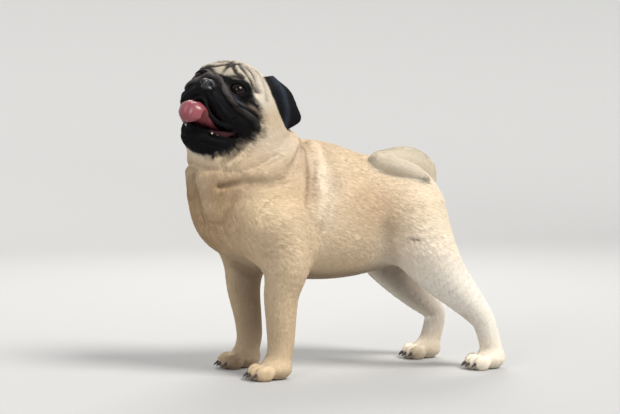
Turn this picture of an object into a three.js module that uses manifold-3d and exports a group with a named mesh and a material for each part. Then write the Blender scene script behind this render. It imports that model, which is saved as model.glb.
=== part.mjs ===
// A pug standing with its head raised, turned to its left and panting.
// Sizes are millimetres. +X is the dog's left, -Y is where its body faces, +Z is up.
// The flesh is one implicit body of blended ellipsoids and tapered limbs. It is turned
// into facets region by region on graded grids and parted with thin plane cuts.
import * as THREE from "three";
import { mergeVertices } from "three/addons/utils/BufferGeometryUtils.js";
import Module from "manifold-3d";

const wasm = await Module();
wasm.setup();

const GAP = 0.3;
const SHORTEST = 0.12;
const BIG = 1500;

// The head's own frame: origin in the middle of the skull, -Y to the nose, +Z to the crown
const HEAD_AT = [10, -128, 357];
const HEAD_TURN = new THREE.Euler(
  THREE.MathUtils.degToRad(-14),
  THREE.MathUtils.degToRad(16),
  THREE.MathUtils.degToRad(45),
  "ZXY",
);
const headMatrix = new THREE.Matrix4()
  .makeRotationFromEuler(HEAD_TURN)
  .setPosition(...HEAD_AT);
const headInverse = headMatrix.clone().invert();

function moved(p, matrix) {
  const e = matrix.elements;
  return [0, 1, 2].map((i) => e[i] * p[0] + e[i + 4] * p[1] + e[i + 8] * p[2] + e[i + 12]);
}
const toHead = (p) => moved(p, headInverse);
const fromHead = (q) => moved(q, headMatrix);
const headDirection = (v) =>
  new THREE.Vector3(...v).transformDirection(headMatrix).toArray();

// Implicit shapes: each gives a distance, negative inside
const length = (v) => Math.hypot(v[0], v[1], v[2]);
const mix = (a, b, t) => a + (b - a) * t;
const minus = (a, b) => [a[0] - b[0], a[1] - b[1], a[2] - b[2]];
const clamp = (x) => Math.min(1, Math.max(0, x));

function smoothMin(a, b, k) {
  const h = Math.max(k - Math.abs(a - b), 0) / k;
  return Math.min(a, b) - (h * h * k) / 4;
}

function ellipsoid(p, centre, radii) {
  const q = minus(p, centre);
  const scaled = length(q.map((x, i) => x / radii[i]));
  if (scaled < 1e-6) return -Math.min(...radii);
  return (scaled * (scaled - 1)) / length(q.map((x, i) => x / radii[i] ** 2));
}

function nearestOn(p, a, b) {
  const d = [b[0] - a[0], b[1] - a[1], b[2] - a[2]];
  const q = minus(p, a);
  const t = clamp(
    (q[0] * d[0] + q[1] * d[1] + q[2] * d[2]) / (d[0] ** 2 + d[1] ** 2 + d[2] ** 2),
  );
  return [length([q[0] - t * d[0], q[1] - t * d[1], q[2] - t * d[2]]), t];
}

// A limb: stations of [x, y, z, radius] joined by tapered rods
function limb(p, stations) {
  let best = Infinity;
  for (let i = 0; i + 1 < stations.length; i++) {
    const [distance, t] = nearestOn(p, stations[i], stations[i + 1]);
    best = smoothMin(best, distance - mix(stations[i][3], stations[i + 1][3], t), 6);
  }
  return best;
}

function creased(p, creases) {
  let depth = 0;
  for (const crease of creases) {
    let near = Infinity;
    for (let i = 0; i + 1 < crease.points.length; i++)
      near = Math.min(near, nearestOn(p, crease.points[i], crease.points[i + 1])[0]);
    depth += crease.depth * Math.exp(-((near / crease.width) ** 2));
  }
  return depth;
}

function blended(p, parts, start = Infinity) {
  let d = start;
  for (const [centre, radii, blend] of parts)
    d = smoothMin(d, ellipsoid(p, centre, radii), blend);
  return d;
}

// Torso and neck: [centre, radii, blend with what comes before]
const TORSO = [
  [[0, -50, 214], [77, 108, 80], 1],
  [[0, -126, 222], [58, 54, 60], 40],
  [[0, 45, 212], [68, 90, 72], 40],
  [[0, 104, 216], [62, 56, 62], 40],
  [[0, 0, 168], [56, 96, 42], 40],
  [[0, -34, 258], [40, 66, 41], 40],
  [[56, -84, 204], [28, 46, 62], 30],
  [[-56, -90, 204], [28, 46, 62], 30],
];
const NECK = [
  [[6, -112, 306], [58, 58, 58], 24],
  [[2, -108, 268], [66, 68, 52], 26],
  [[8, -142, 262], [44, 44, 56], 26],
];
const NECK_ROLL = [
  [0, -52, 305, 12],
  [34, -60, 297, 13],
  [57, -78, 281, 13],
  [63, -104, 266, 13],
  [54, -134, 261, 12],
  [32, -158, 262, 10],
  [4, -174, 264, 8],
  [-26, -164, 262, 9],
  [-52, -138, 258, 11],
  [-62, -104, 262, 12],
  [-54, -72, 278, 12],
  [-32, -56, 296, 12],
  [0, -52, 305, 12],
];
const NECK_CREASES = [
  {
    points: [
      [0, -66, 330], [36, -72, 318], [62, -92, 296], [68, -118, 281],
      [56, -148, 277], [34, -170, 277], [6, -182, 278],
    ],
    depth: 3.5,
    width: 6,
  },
];

// Legs: stations of [x, y, z, radius], the cut that parts each from the torso, and its paw
const LEGS = {
  foreleg_left: {
    stations: [
      [60, -90, 196, 36],
      [64, -74, 150, 29],
      [59, -80, 108, 23],
      [57, -80, 70, 19.5],
      [56, -80, 42, 17.5],
      [56, -84, 22, 17],
    ],
    cut: [[46, -80, 138], [0.62, 0, -0.78]],
    paw: { x: 57, y: -92, length: 54, width: 46 },
  },
  foreleg_right: {
    stations: [
      [-60, -98, 196, 36],
      [-62, -92, 150, 29],
      [-57, -94, 108, 23],
      [-55, -89, 70, 19],
      [-54, -87, 42, 17.5],
      [-54, -91, 22, 17],
    ],
    cut: [[-46, -90, 138], [-0.62, 0, -0.78]],
    paw: { x: -54, y: -98, length: 54, width: 46 },
  },
  hindleg_left: {
    stations: [
      [42, 104, 204, 50],
      [60, 119, 162, 41],
      [66, 143, 127, 31],
      [67, 176, 93, 22],
      [66, 199, 68, 16.5],
      [66, 207, 50, 15],
      [66, 215, 22, 15],
    ],
    cut: [[50, 96, 178], [0.75, 0.3, -0.59]],
    paw: { x: 67, y: 207, length: 52, width: 42 },
  },
  hindleg_right: {
    stations: [
      [-42, 100, 204, 50],
      [-58, 108, 158, 40],
      [-59, 130, 122, 30],
      [-57, 162, 88, 21.5],
      [-56, 184, 68, 16.5],
      [-55, 186, 50, 15],
      [-55, 178, 22, 15],
    ],
    cut: [[-50, 92, 178], [-0.75, 0.3, -0.59]],
    paw: { x: -55, y: 169, length: 52, width: 42 },
  },
};
const TOES = 4;

// Head, in its own frame: skull, cheeks, brows, muzzle, lips and jaw
const SKULL = [
  [[0, 8, 3], [54, 54, 42], 1],
  [[0, -14, 11], [43, 33, 32], 16],
  [[0, 16, -30], [44, 40, 42], 24],
];
const SKULL_PAIRS = [
  [[34, -6, -14], [27, 34, 32], 20],
  [[22, -34, 18], [17, 13, 11], 10],
  [[17, -55, -14], [19, 18, 16], 9],
  [[28, -46, -26], [13, 19, 14], 10],
  [[36, -30, -34], [11, 15, 12], 10],
];
const MUZZLE = [[[0, -48, -10], [26, 22, 20], 12]];
const NOSE_ROLL = [
  [0, -62, 11, 6],
  [11, -58, 10, 6.5],
  [20, -54, 2, 6.5],
  [28, -49, -8, 6.5],
  [38, -38, -15, 6.5],
  [48, -23, -23, 6],
  [54, -6, -36, 5],
];
const JAW = [
  [[0, -40, -66], [21, 16, 16], 8],
  [[0, -10, -66], [36, 34, 22], 14],
];
const JAW_SIDES = [
  [7, -43, -65, 12.5],
  [25, -28, -61, 12.5],
  [38, -4, -49, 14],
];
const MOUTH = [
  [[0, -70, -41], [28, 36, 14], 1],
  [[0, -46, -47.5], [66, 25, 6], 5],
];
const FACE_CREASES = [
  { points: [[5, -47, 22], [6, -40, 34], [6, -26, 44]], depth: 2.6, width: 3.4 },
  { points: [[15, -47, 24], [17, -38, 33], [20, -24, 42]], depth: 2.4, width: 3.6 },
  { points: [[12, -52, 16], [24, -46, 24], [38, -36, 20], [48, -24, 4]], depth: 2.6, width: 3.6 },
  { points: [[24, -30, 36], [38, -24, 32], [50, -14, 18]], depth: 2.2, width: 4 },
  { points: [[13, -64, 4], [21, -60, -8], [31, -52, -18], [44, -36, -26]], depth: 3.4, width: 3.6 },
  { points: [[33, -44, -4], [42, -34, -8], [50, -20, -12]], depth: 2.4, width: 3.2 },
  { points: [[0, -76, -8], [0, -78, -28]], depth: 2.4, width: 2.6 },
];

// Eyes: place, size and the opening between the lids, in the head's frame
const EYE = {
  at: [28, -41, 5],
  radius: 11.5,
  lid: 2.4,
  gaze: [0.36, -0.9, 0.16],
  opening: [8.8, 6.8],
};

function headField(p) {
  const q = toHead(p);
  const side = [Math.abs(q[0]), q[1], q[2]];
  let d = blended(q, SKULL);
  d = blended(side, SKULL_PAIRS, d);
  d = blended(q, MUZZLE, d);
  d = blended(q, JAW, d);
  d = smoothMin(d, limb(side, JAW_SIDES), 12);
  d = smoothMin(d, limb(side, NOSE_ROLL), 4);
  return d + creased(side, FACE_CREASES);
}

function pawField(p, paw) {
  const size = [paw.width * 0.42, paw.length * 0.4, 14];
  let d = ellipsoid(p, [paw.x, paw.y + 4, 13], size);
  for (let i = 0; i < TOES; i++)
    d = smoothMin(d, ellipsoid(p, toeAt(paw, i), [paw.width * 0.15, paw.width * 0.27, 10.5]), 4);
  return d;
}

function toeAt(paw, i) {
  const outer = i === 0 || i === TOES - 1;
  const across = (i - (TOES - 1) / 2) * paw.width * 0.235;
  return [paw.x + across, paw.y - paw.length * (outer ? 0.27 : 0.36), 9.5];
}

function trunkField(p) {
  let d = blended(p, TORSO);
  d = blended(p, NECK, d);
  d = smoothMin(d, limb(p, NECK_ROLL), 8);
  return d + creased(p, NECK_CREASES);
}

function fleshField(p) {
  let d = trunkField(p);
  for (const leg of Object.values(LEGS)) {
    d = smoothMin(d, limb(p, leg.stations), 22);
    if (p[2] < 60) d = smoothMin(d, pawField(p, leg.paw), 8);
  }
  if (p[2] > 220) {
    d = smoothMin(d, headField(p), 14);
    d = Math.max(d, -blended(toHead(p), MOUTH));
  }
  return d;
}

// Grid lines from low to high, spaced by a size or by a function of the place
function lines(low, high, size) {
  const marks = [low];
  while (marks.at(-1) < high)
    marks.push(marks.at(-1) + (typeof size === "function" ? size(marks.at(-1)) : size));
  return marks;
}

// Surface nets: one vertex in each grid cell that the surface crosses, pulled onto it
function facets(field, xs, ys, zs) {
  const n = [xs.length, ys.length, zs.length];
  const at = (i, j, k) => (k * n[1] + j) * n[0] + i;
  const values = new Float64Array(n[0] * n[1] * n[2]);
  for (let k = 0; k < n[2]; k++)
    for (let j = 0; j < n[1]; j++)
      for (let i = 0; i < n[0]; i++) {
        const rim =
          i === 0 || j === 0 || k === 0 || i === n[0] - 1 || j === n[1] - 1 || k === n[2] - 1;
        values[at(i, j, k)] = rim ? 2 : field([xs[i], ys[j], zs[k]]) || 1e-9;
      }
  const corners = [];
  for (let c = 0; c < 8; c++) corners.push([c & 1, (c >> 1) & 1, c >> 2]);
  const edges = [];
  for (let a = 0; a < 8; a++)
    for (let axis = 0; axis < 3; axis++)
      if (!(a & (1 << axis))) edges.push([a, a | (1 << axis)]);
  const vertexOf = new Int32Array(values.length).fill(-1);
  const vertices = [];
  for (let k = 0; k + 1 < n[2]; k++)
    for (let j = 0; j + 1 < n[1]; j++)
      for (let i = 0; i + 1 < n[0]; i++) {
        const v = corners.map(([a, b, c]) => values[at(i + a, j + b, k + c)]);
        const sum = [0, 0, 0];
        let count = 0;
        for (const [a, b] of edges) {
          if (v[a] < 0 === v[b] < 0) continue;
          const t = v[a] / (v[a] - v[b]);
          for (let x = 0; x < 3; x++) sum[x] += mix(corners[a][x], corners[b][x], t);
          count++;
        }
        if (!count) continue;
        const size = [xs[i + 1] - xs[i], ys[j + 1] - ys[j], zs[k + 1] - zs[k]];
        const p = [xs[i], ys[j], zs[k]].map((x, axis) => x + (sum[axis] / count) * size[axis]);
        const inner =
          i > 0 && j > 0 && k > 0 && i + 2 < n[0] && j + 2 < n[1] && k + 2 < n[2];
        vertexOf[at(i, j, k)] = vertices.length;
        vertices.push(inner ? pulled(field, p, Math.min(...size) * 0.45) : p);
      }
  const triangles = [];
  const quad = (flip, ...ring) => {
    const [p, q, r, s] = flip ? ring.reverse() : ring;
    const across = (a, b) => length(minus(vertices[a], vertices[b]));
    if (across(p, r) < across(q, s)) triangles.push(p, q, r, p, r, s);
    else triangles.push(q, r, s, q, s, p);
  };
  for (let k = 0; k + 1 < n[2]; k++)
    for (let j = 0; j + 1 < n[1]; j++)
      for (let i = 0; i + 1 < n[0]; i++) {
        const here = values[at(i, j, k)] < 0;
        const cell = (a, b, c) => vertexOf[at(i - a, j - b, k - c)];
        if (j && k && here !== values[at(i + 1, j, k)] < 0)
          quad(!here, cell(0, 0, 0), cell(0, 1, 0), cell(0, 1, 1), cell(0, 0, 1));
        if (i && k && here !== values[at(i, j + 1, k)] < 0)
          quad(!here, cell(0, 0, 0), cell(0, 0, 1), cell(1, 0, 1), cell(1, 0, 0));
        if (i && j && here !== values[at(i, j, k + 1)] < 0)
          quad(!here, cell(0, 0, 0), cell(1, 0, 0), cell(1, 1, 0), cell(0, 1, 0));
      }
  return new THREE.BufferGeometry()
    .setAttribute("position", new THREE.Float32BufferAttribute(vertices.flat(), 3))
    .setIndex(triangles);
}

// Moves a point onto the surface, by no more than the reach
function pulled(field, p, reach) {
  const step = 0.05;
  let q = p;
  for (let pass = 0; pass < 2; pass++) {
    const here = field(q);
    const slope = [0, 1, 2].map((axis) => {
      const ahead = [...q];
      ahead[axis] += step;
      return (field(ahead) - here) / step;
    });
    const steep = slope[0] ** 2 + slope[1] ** 2 + slope[2] ** 2;
    if (steep < 0.04) break;
    q = q.map((x, axis) => x - (here * slope[axis]) / steep);
  }
  const share = Math.min(1, reach / Math.max(length(minus(q, p)), 1e-9));
  return p.map((x, axis) => mix(x, q[axis], share));
}

// Merges, again and again, the pair of vertices that changes the surface least, down to a
// number of triangles. A quadric holds the squared distance from a vertex's planes.
// With a longest given, only edges up to it are merged, and into one of their own ends.
function thinned(geometry, target, longest = Infinity) {
  const points = [];
  const source = mergeVertices(geometry, 1e-4);
  for (let i = 0; i < source.attributes.position.count; i++)
    points.push(new THREE.Vector3().fromBufferAttribute(source.attributes.position, i));
  const faces = [];
  const facesOf = points.map(() => new Set());
  const quadrics = points.map(() => new Float64Array(10));
  const planeOf = ([a, b, c], moving = -1, spot = null) => {
    const [p, q, r] = [a, b, c].map((v) => (v === moving ? spot : points[v]));
    return q.clone().sub(p).cross(r.clone().sub(p));
  };
  for (let i = 0; i < source.index.count; i += 3) {
    const face = [0, 1, 2].map((k) => source.index.array[i + k]);
    if (new Set(face).size < 3) continue;
    const normal = planeOf(face);
    const area = normal.length();
    normal.normalize();
    const plane = [...normal.toArray(), -normal.dot(points[face[0]])];
    for (const v of face) {
      facesOf[v].add(faces.length);
      let slot = 0;
      for (let m = 0; m < 4; m++)
        for (let n = m; n < 4; n++) quadrics[v][slot++] += area * plane[m] * plane[n];
    }
    faces.push(face);
  }
  const change = (q, { x, y, z }) =>
    q[0] * x * x + 2 * q[1] * x * y + 2 * q[2] * x * z + 2 * q[3] * x +
    q[4] * y * y + 2 * q[5] * y * z + 2 * q[6] * y +
    q[7] * z * z + 2 * q[8] * z + q[9];
  function bestSpot(a, b) {
    const q = quadrics[a].map((x, i) => x + quadrics[b][i]);
    const spots = [points[a], points[b]];
    const system = new THREE.Matrix3().set(q[0], q[1], q[2], q[1], q[4], q[5], q[2], q[5], q[7]);
    const reach = points[a].distanceTo(points[b]);
    if (longest === Infinity) {
      spots.push(points[a].clone().lerp(points[b], 0.5));
      if (Math.abs(system.determinant()) > 1e-4 * (q[0] + q[4] + q[7]) ** 3) {
        const solved = new THREE.Vector3(-q[3], -q[6], -q[8]).applyMatrix3(system.invert());
        if (solved.distanceTo(spots[2]) < reach) spots.push(solved);
      }
    }
    let best = { cost: Infinity };
    for (const spot of spots) {
      const cost = Math.max(0, change(q, spot)) + 2e-4 * reach ** 4;
      if (cost < best.cost) best = { cost, spot };
    }
    return best;
  }
  const stamps = points.map(() => 0);
  const heap = [];
  const push = (item) => {
    let i = heap.push(item) - 1;
    while (i && heap[(i - 1) >> 1].cost > item.cost) {
      heap[i] = heap[(i - 1) >> 1];
      i = (i - 1) >> 1;
    }
    heap[i] = item;
  };
  const pop = () => {
    const top = heap[0];
    const item = heap.pop();
    for (let i = 0; heap.length; ) {
      let child = 2 * i + 1;
      if (child + 1 < heap.length && heap[child + 1].cost < heap[child].cost) child++;
      if (child >= heap.length || heap[child].cost >= item.cost) {
        heap[i] = item;
        break;
      }
      heap[i] = heap[child];
      i = child;
    }
    return top;
  };
  const offer = (a, b) => {
    if (points[a].distanceTo(points[b]) <= longest)
      push({ a, b, stamp: stamps[a] + stamps[b], ...bestSpot(a, b) });
  };
  const neighbours = (v) => {
    const found = new Set();
    for (const f of facesOf[v]) for (const w of faces[f]) if (w !== v) found.add(w);
    return found;
  };
  for (let a = 0; a < points.length; a++) for (const b of neighbours(a)) if (a < b) offer(a, b);
  let count = faces.length;
  while (count > target && heap.length) {
    const { a, b, stamp, spot } = pop();
    if (!facesOf[a].size || !facesOf[b].size || stamp !== stamps[a] + stamps[b]) continue;
    const ringA = neighbours(a);
    if (!ringA.has(b)) continue;
    const shared = [...neighbours(b)].filter((v) => ringA.has(v));
    if (shared.length !== 2 || shared.some((v) => facesOf[v].size < 4)) continue;
    const flips = [a, b].some((v) =>
      [...facesOf[v]].some((f) => {
        if (faces[f].includes(a) && faces[f].includes(b)) return false;
        const before = planeOf(faces[f]);
        const after = planeOf(faces[f], v, spot);
        if (before.length() < 1e-3) return false;
        const sliver = after.length() < Math.min(0.2, before.length() / 2);
        return sliver || before.dot(after) < 0.3 * before.length() * after.length();
      }),
    );
    if (flips) continue;
    for (const f of [...facesOf[b]]) {
      if (faces[f].includes(a)) {
        for (const v of faces[f]) facesOf[v].delete(f);
        count--;
      } else {
        faces[f] = faces[f].map((v) => (v === b ? a : v));
        facesOf[a].add(f);
      }
    }
    facesOf[b].clear();
    points[a] = spot;
    quadrics[a] = quadrics[a].map((x, i) => x + quadrics[b][i]);
    stamps[a] += 1;
    for (const v of neighbours(a)) offer(a, v);
  }
  const left = new Set();
  facesOf.forEach((set) => set.forEach((f) => left.add(f)));
  return new THREE.BufferGeometry()
    .setAttribute(
      "position",
      new THREE.Float32BufferAttribute(points.flatMap((p) => p.toArray()), 3),
    )
    .setIndex([...left].flatMap((f) => faces[f]));
}

// Where four faces meet in one edge, the two round the narrower wedge of solid get a middle
// point of their own, so that every edge borders two faces
function untied(geometry) {
  const { position } = geometry.attributes;
  const points = [];
  for (let i = 0; i < position.count; i++)
    points.push(new THREE.Vector3().fromBufferAttribute(position, i));
  let faces = [];
  for (let i = 0; i < geometry.index.count; i += 3)
    faces.push([0, 1, 2].map((k) => geometry.index.array[i + k]));
  const bordering = new Map();
  for (const face of faces)
    for (let k = 0; k < 3; k++) {
      const key = `${face[k]},${face[(k + 1) % 3]}`;
      bordering.set(key, [...(bordering.get(key) ?? []), face]);
    }
  for (const [key, forward] of bordering) {
    const [a, b] = key.split(",").map(Number);
    if (forward.length !== 2 || a > b) continue;
    const edge = points[b].clone().sub(points[a]).normalize();
    const outward = (face) => {
      const third = points[face.find((v) => v !== a && v !== b)];
      const w = third.clone().sub(points[a]);
      return w.addScaledVector(edge, -w.dot(edge)).normalize();
    };
    const start = outward(forward[0]);
    const aside = edge.clone().cross(start);
    const angle = (face) => Math.atan2(outward(face).dot(aside), outward(face).dot(start));
    let narrow = { size: Infinity };
    for (const front of forward)
      for (const back of bordering.get(`${b},${a}`)) {
        const size = (angle(front) - angle(back) + 4 * Math.PI) % (2 * Math.PI);
        if (size < narrow.size) narrow = { size, pair: [front, back] };
      }
    const inward = outward(narrow.pair[0]).add(outward(narrow.pair[1])).normalize();
    const middle = points[a].clone().lerp(points[b], 0.5).addScaledVector(inward, 0.05);
    points.push(middle);
    for (const face of narrow.pair)
      for (const end of [a, b])
        faces.push(face.map((v) => (v === end ? points.length - 1 : v)));
    faces = faces.filter((face) => !narrow.pair.includes(face));
  }
  return new THREE.BufferGeometry()
    .setAttribute(
      "position",
      new THREE.Float32BufferAttribute(points.flatMap((p) => p.toArray()), 3),
    )
    .setIndex(faces.flat());
}

// Every vertex moved out along its normal
function grown(geometry, amount) {
  const made = mergeVertices(geometry, 1e-4);
  made.computeVertexNormals();
  const { position, normal } = made.attributes;
  for (let i = 0; i < position.array.length; i++) position.array[i] += normal.array[i] * amount;
  return made;
}

// A closed skin over rings of points: ring(t, a) for t along and a around, both 0 to 1
function swept(ring, rings, sides) {
  const positions = [];
  for (let i = 0; i <= rings; i++)
    for (let j = 0; j < sides; j++) positions.push(ring(i / rings, j / sides));
  const middle = (row) =>
    positions
      .slice(row * sides, (row + 1) * sides)
      .reduce((sum, p) => sum.map((x, axis) => x + p[axis] / sides), [0, 0, 0]);
  positions.push(middle(0), middle(rings));
  const ends = [positions.length - 2, positions.length - 1];
  const triangles = [];
  for (let j = 0; j < sides; j++) {
    const next = (j + 1) % sides;
    for (let i = 0; i < rings; i++) {
      const [a, b] = [i * sides, (i + 1) * sides];
      triangles.push(a + j, a + next, b + next, a + j, b + next, b + j);
    }
    triangles.push(ends[0], next, j, ends[1], rings * sides + j, rings * sides + next);
  }
  return new THREE.BufferGeometry()
    .setAttribute("position", new THREE.Float32BufferAttribute(positions.flat(), 3))
    .setIndex(triangles);
}

// Solids
function solidOf(geometry) {
  const bare = geometry.clone();
  bare.deleteAttribute("normal");
  bare.deleteAttribute("uv");
  const merged = mergeVertices(bare, 1e-4);
  const solid = (triangles) =>
    new wasm.Manifold(
      new wasm.Mesh({
        numProp: 3,
        vertProperties: new Float32Array(merged.attributes.position.array),
        triVerts: triangles,
      }),
    );
  const made = solid(new Uint32Array(merged.index.array));
  return made.volume() > 0 ? made : solid(new Uint32Array(merged.index.array).reverse());
}

function largest(solid) {
  return solid
    .decompose()
    .reduce((best, piece) => (piece.volume() > best.volume() ? piece : best));
}

function geometryOf(solid) {
  const mesh = solid.getMesh();
  const positions = new Float32Array(mesh.numVert * 3);
  for (let i = 0; i < mesh.numVert; i++)
    positions.set(mesh.vertProperties.subarray(i * mesh.numProp, i * mesh.numProp + 3), i * 3);
  return new THREE.BufferGeometry()
    .setAttribute("position", new THREE.BufferAttribute(positions, 3))
    .setIndex(new THREE.BufferAttribute(mesh.triVerts, 1));
}

// All on the side of a plane that its normal points to, from a margin away
function halfSpace(point, normal, margin = 0) {
  const n = new THREE.Vector3(...normal).normalize();
  const turn = new THREE.Quaternion().setFromUnitVectors(new THREE.Vector3(0, 0, 1), n);
  const centre = new THREE.Vector3(...point).addScaledVector(n, BIG / 2 + margin);
  const place = new THREE.Matrix4().compose(centre, turn, new THREE.Vector3(1, 1, 1));
  return solidOf(new THREE.BoxGeometry(BIG, BIG, BIG).applyMatrix4(place));
}

const keep = (solid, [point, normal]) => solid.intersect(halfSpace(point, normal, GAP / 2));
const drop = (solid, [point, normal]) =>
  keep(solid, [point, normal.map((x) => -x)]);

// Cuts: a point and the direction of the side that the first part keeps
const HEAD_CUT = [fromHead([0, 34, -10]), headDirection([0, -0.9, 0.43])];
const NECK_CUT = [[0, -112, 262], [0, -0.3, 0.95]];
const LIP_CUT = [fromHead([0, -30, -48]), headDirection([0, 0, -1])];
const THROAT_CUT = [fromHead([0, -40, -90]), headDirection([0, -0.62, 0.78])];

const dog = new THREE.Group();

function addNode(name, solid, colour, roughness = 0.8) {
  const geometry = untied(thinned(geometryOf(largest(solid)), 0, SHORTEST));
  geometry.computeVertexNormals();
  const material = new THREE.MeshStandardMaterial({ color: colour, roughness });
  const mesh = new THREE.Mesh(geometry, material);
  mesh.name = name;
  dog.add(mesh);
}

const FAWN = "#d8bd97";
const MASK = "#2a2527";

// Head and lower jaw, on a grid that is finest over the face
const headSkin = thinned(
  facets(
    (q) => fleshField(fromHead(q)),
    lines(-92, 96, (x) => (Math.abs(x) < 58 ? 3.2 : 6)),
    lines(-98, 62, (y) => (y < -22 ? 3.2 : 6)),
    lines(-112, 64, (z) => (z > -36 && z < 34 ? 3.2 : 4.5)),
  ).applyMatrix4(headMatrix),
  4700,
);
const wholeHead = keep(keep(solidOf(headSkin), HEAD_CUT), THROAT_CUT);
let jaw = keep(wholeHead, LIP_CUT);
let skull = drop(wholeHead, LIP_CUT);

const gazeTurn = (side) =>
  new THREE.Quaternion().setFromUnitVectors(
    new THREE.Vector3(0, -1, 0),
    new THREE.Vector3(side * EYE.gaze[0], EYE.gaze[1], EYE.gaze[2]).normalize(),
  );
function ball(side, radii, forward = 0, detail = [16, 11]) {
  const place = new THREE.Matrix4().compose(
    new THREE.Vector3(side * EYE.at[0], EYE.at[1], EYE.at[2]),
    gazeTurn(side),
    new THREE.Vector3(1, 1, 1),
  );
  return solidOf(
    new THREE.SphereGeometry(1, ...detail)
      .scale(...radii)
      .translate(0, -forward, 0)
      .applyMatrix4(place)
      .applyMatrix4(headMatrix),
  );
}
const sphere = (r) => [r, r, r];
for (const side of [1, -1]) {
  const reach = EYE.radius + EYE.lid;
  const [wide, high] = EYE.opening;
  skull = skull
    .add(ball(side, sphere(reach)))
    .subtract(ball(side, [wide, reach, high], reach * 0.9))
    .subtract(ball(side, sphere(EYE.radius + GAP)));
}

// Nose leather with two nostrils
const NOSE = { at: [0, -67, -2], radii: [12.5, 9, 8.5], nostril: [5.6, -9, -0.5] };
function noseSolid(grow) {
  const radii = NOSE.radii.map((r) => r + grow);
  return solidOf(
    new THREE.SphereGeometry(1, 18, 12)
      .scale(...radii)
      .translate(...NOSE.at)
      .applyMatrix4(headMatrix),
  );
}
let nose = noseSolid(0);
for (const side of [1, -1]) {
  const [x, y, z] = NOSE.nostril;
  const nostril = new THREE.SphereGeometry(1, 12, 8)
    .scale(3, 5, 2.4)
    .rotateY(side * 0.5)
    .translate(NOSE.at[0] + side * x, NOSE.at[1] + y, NOSE.at[2] + z);
  nose = nose.subtract(solidOf(nostril.applyMatrix4(headMatrix)));
}
skull = skull.subtract(noseSolid(GAP));

// Tongue: a rounded slab along a curve, its sides drooping
const TONGUE = {
  path: [
    [0, -22, -50], [0, -46, -45], [0, -65, -36], [0, -78, -31], [0, -88, -35], [0, -90, -46],
    [0, -87, -55],
  ],
  halfWidth: 17,
  halfDepth: 5.2,
  droop: 7,
};
const tonguePath = new THREE.CatmullRomCurve3(
  TONGUE.path.map((p) => new THREE.Vector3(...p)),
);
function tongueRing(t, a) {
  const centre = tonguePath.getPoint(t);
  const along = tonguePath.getTangent(t);
  const up = new THREE.Vector3(1, 0, 0).cross(along).negate();
  const taper = Math.sqrt(clamp(1 - Math.max(0, (t - 0.8) / 0.22) ** 2));
  const wide = TONGUE.halfWidth * taper * Math.cos(a * 2 * Math.PI);
  const thick = TONGUE.halfDepth * (0.35 + 0.65 * taper) * Math.sin(a * 2 * Math.PI);
  const droop = TONGUE.droop * t * (wide / TONGUE.halfWidth) ** 2;
  return centre
    .addScaledVector(up, thick - droop)
    .add(new THREE.Vector3(wide, 0, 0))
    .toArray();
}
const tongueSlab = solidOf(swept(tongueRing, 12, 14).applyMatrix4(headMatrix));
const headRoom = solidOf(grown(headSkin, GAP));
const tongue = tongueSlab.subtract(headRoom);

// Lower teeth along both sides of the jaw, the canine first
const TEETH = [
  [20, -55, -53.5, 7.5],
  [24.5, -47.5, -53.5, 5],
  [28.5, -40.5, -53, 5],
  [32, -33.5, -52, 5],
];
for (const side of [1, -1])
  for (const [x, y, z, height] of TEETH) {
    const tooth = new THREE.ConeGeometry(2.1, height, 6)
      .rotateX(Math.PI / 2)
      .translate(side * x, y, z + height / 2 - 0.5);
    jaw = jaw.add(solidOf(tooth.applyMatrix4(headMatrix)));
  }

addNode("head", skull, FAWN);
addNode("lower_jaw", jaw, MASK);
addNode("nose", nose, "#17151a", 0.4);
addNode("tongue", tongue, "#d9707c", 0.4);
addNode("eye_left", ball(1, sphere(EYE.radius)), "#120c0a", 0.1);
addNode("eye_right", ball(-1, sphere(EYE.radius)), "#120c0a", 0.1);

// Ears: thin cupped sheets through rows of head side, ridge and outer edge
const EAR_ROWS = [
  [[36, -6, 36], [41, 3, 42], [42, 12, 40]],
  [[47, -4, 26], [57, 11, 30], [58, 26, 33]],
  [[52, 0, 11], [67, 19, 12], [71, 36, 17]],
  [[56, 8, 0], [69, 27, -1], [77, 44, 5]],
  [[58, 20, -8], [67, 31, -12], [71, 37, -9]],
];
const EAR_CUP = 5;
const EAR_THICK = 3.2;
const earCurves = [0, 1, 2].map(
  (i) => new THREE.CatmullRomCurve3(EAR_ROWS.map((row) => new THREE.Vector3(...row[i]))),
);
function earSheet(t, v) {
  const [inner, ridge, outer] = earCurves.map((curve) => curve.getPoint(t));
  if (v < 0.5) {
    const p = inner.lerp(ridge, v * 2);
    const hollow = EAR_CUP * Math.sin(v * 2 * Math.PI) * Math.sin(Math.PI * t);
    return p.add(new THREE.Vector3(-0.6 * hollow, 0.8 * hollow, 0));
  }
  return ridge.lerp(outer, v * 2 - 1);
}
function earRing(side) {
  return (t, a) => {
    const v = a < 0.5 ? a * 2 : 2 - a * 2;
    const p = earSheet(t, v);
    const across = earSheet(t, clamp(v + 0.02)).sub(earSheet(t, clamp(v - 0.02)));
    const along = earSheet(clamp(t + 0.02), v).sub(earSheet(clamp(t - 0.02), v));
    const normal = across.cross(along).normalize();
    const rim = v < 0.01 || v > 0.99 ? 0 : a < 0.5 ? 0.5 : -0.5;
    p.addScaledVector(normal, EAR_THICK * rim * (t > 0.99 ? 0.5 : 1));
    return [side * p.x, p.y, p.z];
  };
}
for (const [name, side] of [["ear_left", 1], ["ear_right", -1]]) {
  const ear = solidOf(swept(earRing(side), 9, 18).applyMatrix4(headMatrix));
  addNode(name, ear.subtract(headRoom), "#1b191d");
}

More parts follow.
